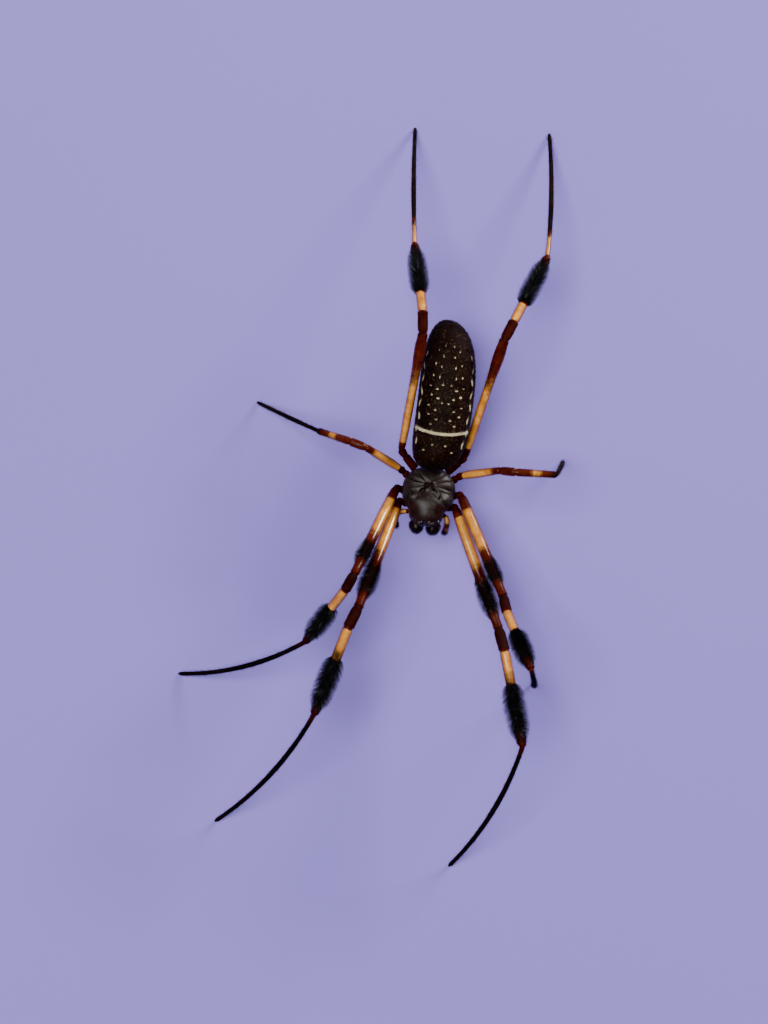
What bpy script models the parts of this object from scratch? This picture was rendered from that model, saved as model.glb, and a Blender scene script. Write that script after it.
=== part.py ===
"""A female golden silk orb weaver at life size, a still model that stands on its eight feet.

Metres, +Z up. The origin is on the floor, under the middle of the whole stance. The head looks
along -Y, and the spider's own left is +X. The body is built in its own frame, with the waist
over the origin, and an empty then turns it and sets it over the floor.
"""

import math
import random

import bmesh
import bpy
from mathutils import Vector

MM = 0.001
GAP = 0.3 * MM  # kept between two pieces that meet
EYE_GAP = 0.05 * MM  # between an eye and its socket

# The stance as a whole.
WAIST_X = 8.21 * MM
WAIST_Y = 4.76 * MM
HEADING = math.radians(-6.5)

# The head and chest, measured back from the front.
CHEST_REAR = -0.65 * MM
CHEST_LENGTH = 8.1 * MM
MARGIN_HEIGHT = 6.7 * MM
THORAX_HALF_WIDTH = 3.6 * MM
HEAD_HALF_WIDTH = 2.35 * MM
THORAX_RISE = 1.75 * MM
HEAD_RISE = 2.6 * MM
STERNUM_HALF_WIDTH = 1.95 * MM
STERNUM_DEPTH = 2.1 * MM
FACE_SLANT = 1.2 * MM  # how far the mouth lies behind the brow

# The abdomen.
ABDOMEN_FRONT = -1.0 * MM
ABDOMEN_LENGTH = 20.25 * MM
ABDOMEN_HALF_WIDTH = 3.74 * MM
ABDOMEN_HALF_HEIGHT = 3.4 * MM
ABDOMEN_HEIGHT = 9.7 * MM  # of its axis at the front
ABDOMEN_SAG = 0.8 * MM  # how far the axis drops to the rear
ABDOMEN_BOW = 0.86 * MM  # how far its middle bends to the spider's left
WIDEST = 0.45  # the share of the length that lies before the widest place

# The lengths of a leg's segments from joint to joint. The last one is metatarsus and tarsus.
SEGMENTS = {
    "I": {"femur": 17.6 * MM, "patella": 3.1 * MM, "tibia": 13.3 * MM, "foot": 23.5 * MM},
    "II": {"femur": 15.5 * MM, "patella": 2.6 * MM, "tibia": 10.7 * MM, "foot": 20.1 * MM},
    "III": {"femur": 7.3 * MM, "patella": 2.3 * MM, "tibia": 5.7 * MM, "foot": 12.1 * MM},
    "IV": {"femur": 17.7 * MM, "patella": 3.0 * MM, "tibia": 10.7 * MM, "foot": 18.8 * MM},
}
SEGMENT_RADII = {
    "femur": {"I": 0.80 * MM, "II": 0.78 * MM, "III": 0.59 * MM, "IV": 0.58 * MM},
    "patella": {"I": 0.76 * MM, "II": 0.70 * MM, "III": 0.57 * MM, "IV": 0.70 * MM},
    "tibia": {"I": 0.70 * MM, "II": 0.66 * MM, "III": 0.53 * MM, "IV": 0.66 * MM},
}
HIP_NARROWING = 0.14  # how much a femur slims to its hip
HIND_FEMUR_SWELL = 0.5  # how much the hind femur thickens towards its knee
THICKNESS = {"I": 1.0, "II": 0.97, "III": 0.86, "IV": 0.94}  # of the coxa and the foot
METATARSUS_RADIUS = 0.36 * MM
TARSUS_RADIUS = 0.26 * MM
TARSUS_SHARE = 0.17  # of the length of metatarsus and tarsus
COXA_RADIUS = 0.58 * MM
TROCHANTER_RADIUS = 0.57 * MM
END_TAPER = 0.72  # how much a segment narrows at each end
END_ROUNDING = 0.12 * MM  # over this length

# Where each leg's coxa leaves the chest, and its hip, on the left side of the body frame.
COXA_ROOTS = {
    "I": Vector((2.05, -5.75, 5.5)) * MM,
    "II": Vector((2.25, -4.3, 5.5)) * MM,
    "III": Vector((2.3, -2.75, 5.5)) * MM,
    "IV": Vector((2.2, -1.1, 5.6)) * MM,
}
HIPS = {
    "I": Vector((3.85, -5.8, 5.9)) * MM,
    "II": Vector((4.4, -4.05, 6.3)) * MM,
    "III": Vector((4.1, -1.4, 6.2)) * MM,
    "IV": Vector((4.3, 1.1, 6.3)) * MM,
}

# How each leg is held, in degrees: the swing forwards from straight out, then the pitch up.
# The foot has its mean swing, how much the swing changes to its tip, and how much it curls down.
# Its own pitch follows from the height that it has to come down from.
STANCE = {
    ("right", "I"): {
        "femur": (75.5, 31), "patella": (70, 14), "tibia": (75, -18), "foot": (54, -27, 9),
    },
    ("right", "II"): {
        "femur": (70.5, 35), "patella": (67, -16), "tibia": (59, -33), "foot": (21, -31, 4),
    },
    ("right", "III"): {
        "femur": (-25, 43), "patella": (-15, -3), "tibia": (-12, -36), "foot": (-19, -2, 9),
    },
    ("right", "IV"): {
        "femur": (-94, 27), "patella": (-83, 6), "tibia": (-77, -30), "foot": (-84, -5, 22),
    },
    ("left", "I"): {
        "femur": (64, 13), "patella": (68, 9), "tibia": (73, 11), "foot": (114, 27, 15),
    },
    ("left", "II"): {
        "femur": (61, 19.5), "patella": (71, 34), "tibia": (61, 40), "foot": (67, 0, 23),
    },
    ("left", "III"): {
        "femur": (-14, 45), "patella": (0, 29), "tibia": (-3, -6), "foot": (-63, 0, 10),
    },
    ("left", "IV"): {
        "femur": (-78, 21), "patella": (-69, -20), "tibia": (-69, -21), "foot": (-95, -11, 4),
    },
}

# The hair brushes: where each starts and ends along its segment, and the radius to its tips.
BRUSHES = {
    ("femur", "I"): (0.57, 0.91, 1.4 * MM),
    ("femur", "II"): (0.62, 0.89, 1.15 * MM),
    ("tibia", "I"): (0.355, 0.955, 1.6 * MM),
    ("tibia", "II"): (0.335, 0.92, 1.45 * MM),
    ("tibia", "IV"): (0.27, 0.94, 1.35 * MM),
}

# The flat locks of hair that each brush is made of.
CORE_SHARE = 0.4  # how far the brush is solid, of the way from the bare leg to its tips
CORE_SHOULDER = 0.05  # of the segment's length, over which the core rises
LOCKS_PER_MM = 3.1  # along the leg
LOCK_TURN = math.radians(137.5)  # round the leg from one lock to the next
LOCK_HALF_WIDTH = 0.6 * MM
LOCK_HALF_THICKNESS = 0.25 * MM
LOCK_ROOT_DEPTH = 0.3  # the root's distance from the leg's axis, of the bare radius
LOCK_LEAN = (math.radians(74), math.radians(32))  # from the leg's axis, at root and tip
LOCK_SEED = 11

BROWN = (0.10, 0.055, 0.035, 1)
BLACK = (0.012, 0.010, 0.011, 1)
AMBER = (0.55, 0.26, 0.06, 1)
RED_BROWN = (0.16, 0.035, 0.02, 1)


def collection_named(name):
    collection = bpy.data.collections.new(name)
    bpy.context.scene.collection.children.link(collection)
    return collection


for old in list(bpy.data.objects):
    bpy.data.objects.remove(old, do_unlink=True)
SPIDER = collection_named("golden_silk_orb_weaver")
CUTTERS = collection_named("cutters")


def surface_of(name, colour, roughness):
    """A plain material for one piece."""
    material = bpy.data.materials.new(name)
    material.use_nodes = True
    shader = material.node_tree.nodes["Principled BSDF"]
    shader.inputs["Base Color"].default_value = colour
    shader.inputs["Roughness"].default_value = roughness
    shader.inputs["Metallic"].default_value = 0.0
    return material


def new_object(name, data, collection=SPIDER):
    made = bpy.data.objects.new(name, data)
    collection.objects.link(made)
    return made


def face_out(work):
    """Turns every face of a closed mesh outwards."""
    bmesh.ops.recalc_face_normals(work, faces=work.faces)
    if work.calc_volume(signed=True) < 0.0:
        bmesh.ops.reverse_faces(work, faces=work.faces)


def mesh_as_seen(shown):
    """The object's mesh with its modifiers applied and its loose caps welded."""
    bpy.context.view_layer.update()
    graph = bpy.context.evaluated_depsgraph_get()
    mesh = bpy.data.meshes.new_from_object(shown.evaluated_get(graph))
    work = bmesh.new()
    work.from_mesh(mesh)
    bmesh.ops.remove_doubles(work, verts=work.verts, dist=1e-7)
    face_out(work)
    work.to_mesh(mesh)
    work.free()
    return mesh


def finished(made, colour, roughness=0.4):
    """Smooth shading, and a material of the piece's own."""
    made.data.shade_smooth()
    made.data.set_sharp_from_angle(angle=math.radians(50))
    made.data.materials.clear()
    made.data.materials.append(surface_of(made.name, colour, roughness))
    return made


def tube(name, points, radii, collection=SPIDER, roundness=2):
    """A closed round tube through the points, of 4 sides more for each step of roundness."""
    curve = bpy.data.curves.new(name, "CURVE")
    curve.dimensions = "3D"
    curve.bevel_depth = 1.0
    curve.bevel_resolution = roundness
    curve.use_fill_caps = True
    spline = curve.splines.new("POLY")
    spline.points.add(len(points) - 1)
    for point, place, radius in zip(spline.points, points, radii):
        point.co = (*place, 1.0)
        point.radius = radius
    guide = new_object(name + "_guide", curve, collection)
    mesh = mesh_as_seen(guide)
    mesh.name = name
    bpy.data.objects.remove(guide)
    bpy.data.curves.remove(curve)
    return new_object(name, mesh, collection)


def shaped_sphere(name, place, around, along, collection=SPIDER):
    """A sphere whose points go where place(share of the length, angle round it) says."""
    mesh = bpy.data.meshes.new(name)
    work = bmesh.new()
    bmesh.ops.create_uvsphere(work, u_segments=around, v_segments=along, radius=1.0)
    for vert in work.verts:
        share = (1.0 + max(-1.0, min(1.0, vert.co.z))) / 2.0
        vert.co = place(share, math.atan2(vert.co.y, vert.co.x))
    face_out(work)
    work.to_mesh(mesh)
    work.free()
    return new_object(name, mesh, collection)


def clearance_round(made, margin):
    """A cutter: the piece grown by the margin all over."""
    work = bmesh.new()
    work.from_mesh(made.data)
    work.normal_update()
    grown = [vert.co + vert.normal * margin for vert in work.verts]
    for vert, place in zip(work.verts, grown):
        vert.co = place
    mesh = bpy.data.meshes.new(made.name + "_clearance")
    work.to_mesh(mesh)
    work.free()
    return cutter_from(new_object(mesh.name, mesh, CUTTERS))


def cutter_from(made):
    made.hide_render = True
    made.display_type = "WIRE"
    return made


def cut_by(made, cutter):
    boolean = made.modifiers.new("clear_of_" + cutter.name, "BOOLEAN")
    boolean.operation = "DIFFERENCE"
    boolean.object = cutter


def applied(made):
    """Applies the object's modifiers and keeps its largest closed surface."""
    mesh = mesh_as_seen(made)
    made.modifiers.clear()
    made.data = mesh
    work = bmesh.new()
    work.from_mesh(mesh)
    shells = []
    waiting = set(work.faces)
    while waiting:
        shell, edge_of_shell = set(), [waiting.pop()]
        while edge_of_shell:
            face = edge_of_shell.pop()
            shell.add(face)
            for edge in face.edges:
                for other in edge.link_faces:
                    if other in waiting:
                        waiting.remove(other)
                        edge_of_shell.append(other)
        shells.append(shell)
    shells.sort(key=lambda shell: sum(face.calc_area() for face in shell))
    for shell in shells[:-1]:
        bmesh.ops.delete(work, geom=list(shell), context="FACES")
    work.to_mesh(mesh)
    work.free()
    return made


def joined(made, pieces):
    """One closed body from the object and all that the pieces collection holds."""
    union = made.modifiers.new("join", "BOOLEAN")
    union.operation = "UNION"
    union.operand_type = "COLLECTION"
    union.collection = pieces
    applied(made)
    for piece in list(pieces.objects):
        bpy.data.objects.remove(piece, do_unlink=True)
    bpy.data.collections.remove(pieces)
    return made


def ellipsoid(name, centre, half_sizes, around, along, collection):
    """A stretched ball, its poles up and down."""
    def place(share, angle):
        rise = 2.0 * share - 1.0
        girth = math.sqrt(max(0.0, 1.0 - rise * rise))
        return centre + Vector((
            half_sizes[0] * girth * math.cos(angle),
            half_sizes[1] * girth * math.sin(angle),
            half_sizes[2] * rise,
        ))

    return shaped_sphere(name, place, around, along, collection)


# Head and chest: one carapace over the sternum, with the lip of the carapace over the coxae.
def hump(share, middle, half_length, fullness):
    """1 at the middle and 0 at both ends; a greater fullness makes it squarer."""
    reach = min(1.0, abs(share - middle) / half_length)
    return math.sqrt(1.0 - reach**fullness)


def merged(first, second):
    """The greater of two humps, with the valley between them softened."""
    return (first**6 + second**6) ** (1.0 / 6.0)


def chest_place(share, angle):
    """A point of the head and chest, from its rear (share 0) to its front (share 1)."""
    half_width = merged(
        THORAX_HALF_WIDTH * hump(share, 0.40, 0.40, 2.4),
        HEAD_HALF_WIDTH * hump(share, 0.72, 0.28, 3.5),
    )
    side, up = math.cos(angle), math.sin(angle)
    back = CHEST_REAR - CHEST_LENGTH * share
    if up >= 0.0:
        rise = merged(
            THORAX_RISE * hump(share, 0.42, 0.42, 2.2),
            HEAD_RISE * hump(share, 0.70, 0.30, 3.0),
        )
        return Vector((half_width * side, back, MARGIN_HEIGHT + rise * up))
    under = merged(
        STERNUM_HALF_WIDTH * hump(share, 0.44, 0.44, 2.6),
        0.8 * STERNUM_HALF_WIDTH * hump(share, 0.75, 0.25, 3.0),
    )
    under = min(under, half_width)
    turn = math.asin(min(1.0, -up)) / (math.pi / 2.0)
    lip = max(0.0, 1.0 - turn / 0.28) ** 1.5
    across = under * math.cos(turn * math.pi / 2.0) ** 0.6 + (half_width - under) * lip
    drop = STERNUM_DEPTH * hump(share, 0.48, 0.52, 3.5) * (-up) ** 1.35
    slant = FACE_SLANT * (-up) * max(0.0, (share - 0.6) / 0.4)
    return Vector((math.copysign(across, side), back + slant, MARGIN_HEIGHT - drop))


chest = shaped_sphere("cephalothorax", chest_place, 26, 20)
chest_clearance = clearance_round(chest, 1.15 * GAP)  # flat facets take back a part

# The mouth parts under the head, and the two low knobs on top of the thorax, grow from the chest.
# Centre and half sizes, for the left of each pair.
MOUTH_PARTS = {
    "endite": (Vector((0.85, -6.35, 4.95)) * MM, Vector((0.6, 0.95, 0.6)) * MM),
    "labium": (Vector((0.0, -5.9, 4.9)) * MM, Vector((0.45, 0.55, 0.5)) * MM),
}
KNOB = (Vector((0.55, -3.55, 8.5)) * MM, Vector((0.24, 0.3, 0.4)) * MM)
chest_pieces = collection_named("chest_pieces")
chest_clearances = [chest_clearance]
for side_sign in (1, -1):
    mirror = Vector((side_sign, 1.0, 1.0))
    ellipsoid("thorax_knob", KNOB[0] * mirror, KNOB[1], 8, 6, chest_pieces)
    for part_name, (centre, half_sizes) in MOUTH_PARTS.items():
        if side_sign < 0 and centre.x == 0.0:
            continue
        ellipsoid(part_name, centre * mirror, half_sizes, 10, 6, chest_pieces)
        grown = half_sizes + Vector((GAP, GAP, GAP))
        cutter = ellipsoid(part_name + "_clearance", centre * mirror, grown, 14, 10, CUTTERS)
        chest_clearances.append(cutter_from(cutter))


def clear_of_chest(made):
    """Cuts away what would touch the head and chest or its mouth parts."""
    for cutter in chest_clearances:
        cut_by(made, cutter)
    return applied(made)


# The eyes: share of the length and angle on the chest, and the radius, for the left of each pair.
EYES = {
    "anterior_median": (0.978, math.radians(68), 0.24 * MM),
    "posterior_median": (0.925, math.radians(75), 0.22 * MM),
    "anterior_lateral": (0.960, math.radians(36), 0.19 * MM),
    "posterior_lateral": (0.900, math.radians(33), 0.19 * MM),
}


def eye_place(pair, side_sign):
    """The eye's centre, at the surface of the head."""
    share, angle, _ = EYES[pair]
    place = chest_place(share, angle)
    return Vector((side_sign * place.x, place.y, place.z))


# Each side's two lateral eyes sit on one low tubercle.
for side_sign in (1, -1):
    middle = (eye_place("anterior_lateral", side_sign) + eye_place("posterior_lateral", side_sign)) / 2
    ellipsoid(
        "tubercle", middle + Vector((side_sign * -0.12, 0.1, -0.1)) * MM,
        Vector((0.34, 0.5, 0.3)) * MM, 8, 6, chest_pieces,
    )
joined(chest, chest_pieces)

for pair, (_, _, eye_radius) in EYES.items():
    for side_name, side_sign in (("left", 1), ("right", -1)):
        centre = eye_place(pair, side_sign)
        socket_radius = eye_radius + EYE_GAP
        socket = ellipsoid(
            "socket_" + pair + "_" + side_name, centre, Vector((1, 1, 1)) * socket_radius, 8, 6, CUTTERS
        )
        cut_by(chest, cutter_from(socket))
        eye = ellipsoid(
            "eye_" + pair + "_" + side_name, centre, Vector((1, 1, 1)) * eye_radius, 8, 6, SPIDER
        )
        finished(eye, BLACK, 0.08)
applied(chest)
finished(chest, BROWN, 0.55)


# The chelicerae: two stout barrels under the brow, each with a fang folded in under it.
CHELICERA_CENTRE = Vector((1.08, -8.35, 5.75)) * MM
CHELICERA_HALF_SIZES = Vector((0.93, 1.2, 1.85)) * MM
CHELICERA_LEAN = 0.28  # forwards for each unit up
FANG_RADIUS = 0.27 * MM

for side_name, side_sign in (("left", 1), ("right", -1)):
    def chelicera_place(share, angle, side_sign=side_sign):
        rise = 2.0 * share - 1.0
        girth = math.sqrt(max(0.0, 1.0 - abs(rise) ** 2.8)) * (1.0 + 0.12 * rise)
        across = CHELICERA_HALF_SIZES.x * girth * math.cos(angle)
        forwards = CHELICERA_HALF_SIZES.y * girth * math.sin(angle)
        forwards -= CHELICERA_LEAN * CHELICERA_HALF_SIZES.z * rise
        return Vector((
            side_sign * (CHELICERA_CENTRE.x + across),
            CHELICERA_CENTRE.y + forwards,
            CHELICERA_CENTRE.z + CHELICERA_HALF_SIZES.z * rise,
        ))

    chelicera = shaped_sphere("chelicera_" + side_name, chelicera_place, 14, 10)
    clear_of_chest(chelicera)
    finished(chelicera, BLACK, 0.2)

    fang_points = [
        Vector((side_sign * x, y, z)) * MM
        for x, y, z in ((1.35, -7.95, 3.4), (1.2, -7.65, 3.25), (0.85, -7.35, 3.15), (0.5, -7.1, 3.25))
    ]
    fang = tube("fang_" + side_name, fang_points, [FANG_RADIUS * taper for taper in (1, 1, 0.75, 0.3)])
    finished(fang, RED_BROWN, 0.2)

# The palps: the right one is held out, the left one lies along its chelicera.
PALP_RADIUS = 0.36 * MM
PALP_PATHS = {
    "left": ((2.1, -6.95, 5.0), (2.7, -7.2, 5.3), (2.95, -7.75, 5.35), (2.95, -8.3, 5.0),
             (2.9, -8.75, 4.5), (2.8, -9.15, 3.95), (2.7, -9.4, 3.5)),
    "right": ((2.1, -6.95, 5.0), (2.85, -7.0, 5.35), (3.55, -7.2, 5.5), (3.95, -7.75, 5.25),
              (4.0, -8.3, 4.75), (3.9, -8.85, 4.2), (3.75, -9.25, 3.75)),
}
PALP_GIRTHS = (0.9, 1.0, 0.9, 1.05, 1.0, 1.1, 0.55)
for side_name, side_sign in (("left", 1), ("right", -1)):
    palp_points = [Vector((side_sign * x, y, z)) * MM for x, y, z in PALP_PATHS[side_name]]
    palp = tube("palp_" + side_name, palp_points, [PALP_RADIUS * girth for girth in PALP_GIRTHS])
    clear_of_chest(palp)
    finished(palp, AMBER, 0.35)


# The abdomen: a long blunt barrel that overhangs the waist a little, with its spinnerets below.
def abdomen_girth(share):
    if share < WIDEST:
        return (1.0 - (1.0 - share / WIDEST) ** 4.0) ** 0.32
    return (1.0 - ((share - WIDEST) / (1.0 - WIDEST)) ** 3.2) ** 0.4545


def abdomen_place(share, angle):
    girth = abdomen_girth(share)
    height = ABDOMEN_HEIGHT - ABDOMEN_SAG * share**2
    bow = ABDOMEN_BOW * math.sqrt(max(0.0, math.sin(math.pi * share)))
    return Vector((
        bow + ABDOMEN_HALF_WIDTH * girth * math.cos(angle),
        ABDOMEN_FRONT + ABDOMEN_LENGTH * share,
        height + ABDOMEN_HALF_HEIGHT * girth * math.sin(angle),
    ))


abdomen = shaped_sphere("abdomen", abdomen_place, 22, 20)
abdomen_clearance = clearance_round(abdomen, GAP)
finished(abdomen, BROWN, 0.5)

SPINNERET_SHARE = 0.84
spinnerets_base = abdomen_place(SPINNERET_SHARE, -math.pi / 2)
spinnerets = ellipsoid(
    "spinnerets", spinnerets_base + Vector((0, 0, -0.1)) * MM, Vector((0.85, 0.9, 0.6)) * MM, 14, 8, SPIDER
)
spinneret_cones = collection_named("spinneret_cones")
for side_sign in (1, -1):
    for forwards in (-0.32, 0.38):
        cone_root = spinnerets_base + Vector((side_sign * 0.34, forwards, -0.2)) * MM
        cone_tip = cone_root + Vector((side_sign * -0.05, 0.25, -1.05)) * MM
        tube(
            "spinneret", [cone_root, cone_root.lerp(cone_tip, 0.6), cone_tip],
            [0.3 * MM, 0.25 * MM, 0.12 * MM], spinneret_cones,
        )
joined(spinnerets, spinneret_cones)
cut_by(spinnerets, abdomen_clearance)
applied(spinnerets)
finished(spinnerets, BROWN, 0.5)

PEDICEL_RADIUS = 0.5 * MM
pedicel = tube(
    "pedicel", [Vector((0, y, 6.9)) * MM for y in (-1.2, 0.2, 1.6)], [PEDICEL_RADIUS] * 3
)
cut_by(pedicel, abdomen_clearance)
clear_of_chest(pedicel)
finished(pedicel, BROWN, 0.5)


# The legs.
def heading(side_sign, swing, pitch):
    """The unit vector that points out to the side, swung forwards and pitched up (radians)."""
    return Vector((
        side_sign * math.cos(swing) * math.cos(pitch),
        -math.sin(swing) * math.cos(pitch),
        math.sin(pitch),
    ))


def brush_height(kind, leg, share):
    """How far the hair stands out at this share of a segment, from 0 to 1 of its brush."""
    if (kind, leg) not in BRUSHES:
        return 0.0
    start, end, _ = BRUSHES[(kind, leg)]
    within = (share - start) / (end - start)
    if not 0.0 < within < 1.0:
        return 0.0
    if kind == "femur":
        return math.sin(math.pi * within) ** 0.6
    return (1.0 - math.exp(-within / 0.05)) * (1.0 - within**5) ** 0.8


def segment_radius(kind, leg, share):
    """The bare radius of a leg's segment at this share of its length."""
    if kind == "femur":
        swell = HIND_FEMUR_SWELL * math.exp(-(((share - 0.88) / 0.16) ** 2)) if leg == "IV" else 0.0
        slim = HIP_NARROWING * math.exp(-((share / 0.14) ** 2)) + 0.16 * (2.0 * share - 0.75) ** 2
        return SEGMENT_RADII[kind][leg] * (1.0 + swell - slim)
    if kind == "patella":
        return SEGMENT_RADII[kind][leg] * (0.94 + 0.08 * math.sin(math.pi * share))
    if kind == "tibia":
        return SEGMENT_RADII[kind][leg] * (1.04 - 0.22 * share)
    start = 1.0 - TARSUS_SHARE
    slim = METATARSUS_RADIUS + (TARSUS_RADIUS - METATARSUS_RADIUS) * min(1.0, share / start)
    return THICKNESS[leg] * slim


def segment(name, kind, leg, path, trims, steps):
    """A tube along path(share), trimmed at both ends, with rounded ends and its brush's core."""
    length = (path(1.0) - path(0.0)).length
    first, last = trims[0] / length, 1.0 - trims[1] / length
    if (kind, leg) in BRUSHES:
        start, end, _ = BRUSHES[(kind, leg)]
        shares = [first, start, start + CORE_SHOULDER, end - 2.5 * CORE_SHOULDER, end, last]
    else:
        shares = [first + (last - first) * step / steps for step in range(steps + 1)]
    shares.insert(1, first + END_ROUNDING / length)
    shares.insert(-1, last - END_ROUNDING / length)
    points = [path(share) for share in shares]
    radii = []
    for share in shares:
        bare = segment_radius(kind, leg, share)
        hair = brush_height(kind, leg, share)
        reach = BRUSHES[(kind, leg)][2] - bare if hair else 0.0
        radii.append(bare + CORE_SHARE * reach * hair)
    radii[0] *= END_TAPER
    radii[-1] *= END_TAPER
    return tube(name, points, radii, roundness=1 if kind == "foot" else 2)


def lock(name, root, onwards, outwards, tip_rise, collection):
    """A flat tapered lock that leaves the leg steeply and bends over towards the leg's tip."""
    sideways = onwards.cross(outwards)
    root_lean, tip_lean = LOCK_LEAN
    length = tip_rise / math.sin((root_lean + tip_lean) / 2.0)

    def place(share, angle):
        along = share ** 0.7
        lean = root_lean + (tip_lean - root_lean) * along
        mean_lean = (root_lean + lean) / 2.0
        centre = root + (onwards * math.cos(mean_lean) + outwards * math.sin(mean_lean)) * length * along
        upper = outwards * math.cos(lean) - onwards * math.sin(lean)
        fullness = min(4.0 * share, 1.0, 2.2 * (1.0 - share))
        across = sideways * (LOCK_HALF_WIDTH * fullness * math.cos(angle))
        return centre + across + upper * (LOCK_HALF_THICKNESS * fullness * math.sin(angle))

    return shaped_sphere(name, place, 4, 3, collection)


def grow_brush(made, kind, leg, path):
    """Sets locks all round the segment and makes them one body with it."""
    start, end, tip_radius = BRUSHES[(kind, leg)]
    length = (path(1.0) - path(0.0)).length
    onwards = (path(1.0) - path(0.0)).normalized()
    upright = Vector((0.0, 0.0, 1.0))
    above = (upright - onwards * upright.dot(onwards)).normalized()
    beside = onwards.cross(above)
    advance = tip_radius / math.tan(sum(LOCK_LEAN) / 2.0) / length
    locks = collection_named(made.name + "_locks")
    count = round((end - start - advance) * length * LOCKS_PER_MM / MM)
    for index in range(count):
        share = start + (end - start - advance) * (index + shake.uniform(0.0, 1.0)) / count
        turn = LOCK_TURN * index + shake.uniform(-0.2, 0.2)
        outwards = above * math.cos(turn) + beside * math.sin(turn)
        bare = segment_radius(kind, leg, share)
        hair = brush_height(kind, leg, min(share + advance, end - 0.01))
        tip_rise = bare + (tip_radius - bare) * max(hair, 0.5) * shake.uniform(0.9, 1.06)
        root = path(share) + outwards * bare * LOCK_ROOT_DEPTH
        lock("lock", root, onwards, outwards, tip_rise - bare * LOCK_ROOT_DEPTH, locks)
    return joined(made, locks)


shake = random.Random(LOCK_SEED)


def foot_path(start, side_sign, length, swing, swing_change, curl):
    """The places along metatarsus and tarsus, which end on the floor."""
    half_curl = curl / 2.0
    pitch = math.asin(min(1.0, start.z / (length * math.sin(half_curl) / half_curl)))
    steps = 24
    places = [start.copy()]
    for step in range(steps):
        lag = (step + 0.5) / steps - 0.5
        towards = heading(side_sign, swing + swing_change * lag, -(pitch + curl * lag))
        places.append(places[-1] + towards * (length / steps))
    places[-1].z = 0.0

    def path(share):
        at = max(0.0, min(1.0, share)) * steps
        index = min(steps - 1, int(at))
        return places[index].lerp(places[index + 1], at - index)

    return path


def stand_flat(made):
    """Cuts the foot off level at the floor."""
    work = bmesh.new()
    work.from_mesh(made.data)
    cut = bmesh.ops.bisect_plane(
        work, geom=work.verts[:] + work.edges[:] + work.faces[:], dist=1e-8,
        plane_co=(0, 0, 0), plane_no=(0, 0, -1), clear_outer=True,
    )
    rim = [edge for edge in cut["geom_cut"] if isinstance(edge, bmesh.types.BMEdge)]
    bmesh.ops.holes_fill(work, edges=rim, sides=0)
    for vert in work.verts:
        if abs(vert.co.z) < 1e-7:
            vert.co.z = 0.0
    face_out(work)
    work.to_mesh(made.data)
    work.free()


def trim_at(before, after, radius):
    """How much each of two segments gives up where their narrowed ends meet at a bend."""
    bend = min(before.angle(after), math.radians(115))
    return GAP / 2.0 + END_TAPER * radius * math.tan(bend / 2.0)


COLOURS = {"femur": AMBER, "patella": RED_BROWN, "tibia": RED_BROWN, "foot": BLACK}


def straight_path(start, end):
    def path(share):
        return start.lerp(end, share)

    return path


def build_leg(side_name, side_sign, leg):
    """Coxa with trochanter, femur, patella, tibia, and metatarsus with tarsus."""
    stance = STANCE[(side_name, leg)]
    lengths = SEGMENTS[leg]
    thick = THICKNESS[leg]
    mirror = Vector((side_sign, 1.0, 1.0))
    root = COXA_ROOTS[leg] * mirror
    hip = HIPS[leg] * mirror
    ending = "_" + leg + "_" + side_name

    outwards = hip - root
    knuckle = TROCHANTER_RADIUS * thick / outwards.length
    coxa_shares = (-0.25, 0.5, 0.66, 0.76, 1.0, 1.0 + 0.6 * knuckle, 1.0 + 0.85 * knuckle)
    coxa_girths = (1.0, 1.03, 0.8, 0.9, 0.9, 0.7, 0.4)
    coxa = tube(
        "coxa" + ending, [root + outwards * share for share in coxa_shares],
        [thick * COXA_RADIUS * girth for girth in coxa_girths],
    )
    clear_of_chest(coxa)
    finished(coxa, RED_BROWN)

    joint = hip
    before = None
    names = ("femur", "patella", "tibia")
    ways = [heading(side_sign, *(math.radians(turn) for turn in stance[kind])) for kind in names]
    foot_swing, foot_change, foot_curl = (math.radians(turn) for turn in stance["foot"])
    knee_end = hip + sum((way * lengths[kind] for way, kind in zip(ways, names)), Vector())
    foot_way = foot_path(knee_end, side_sign, lengths["foot"], foot_swing, foot_change, foot_curl)
    ways.append((foot_way(0.05) - foot_way(0.0)).normalized())
    for index, kind in enumerate(names):
        end = joint + ways[index] * lengths[kind]
        if kind == "femur":
            near = TROCHANTER_RADIUS * thick + GAP
        else:
            near = trim_at(ways[index - 1], ways[index], segment_radius(kind, leg, 0.0))
        far = trim_at(ways[index], ways[index + 1], segment_radius(kind, leg, 1.0))
        steps = 3 if kind == "patella" else 6
        path = straight_path(joint, end)
        made = segment(kind + ending, kind, leg, path, (near, far), steps)
        if (kind, leg) in BRUSHES:
            grow_brush(made, kind, leg, path)
        finished(made, COLOURS[kind])
        joint = end
        before = ways[index]
    near = trim_at(before, ways[-1], segment_radius("foot", leg, 0.0))
    foot = segment("metatarsus" + ending, "foot", leg, foot_way, (near, 0.0), 10)
    stand_flat(foot)
    finished(foot, COLOURS["foot"])


for side_name, side_sign in (("left", 1), ("right", -1)):
    for leg in SEGMENTS:
        build_leg(side_name, side_sign, leg)

# The whole body stands over its place on the floor.
stand = new_object("spider", None)
stand.location = (WAIST_X, WAIST_Y, 0.0)
stand.rotation_euler = (0.0, 0.0, HEADING)
for made in list(SPIDER.objects) + list(CUTTERS.objects):
    if made is not stand:
        made.parent = stand
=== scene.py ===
"""The looks of the golden silk orb weaver: skins, hair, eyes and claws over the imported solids.

Metres, +Z up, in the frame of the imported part. Each new piece is modelled in millimetres in the
spider's own frame, with the waist over the origin and the head along -Y, and is then settled into
its place on the floor.
"""

import math

import bpy
import numpy as np
from mathutils import Matrix, Vector


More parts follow.
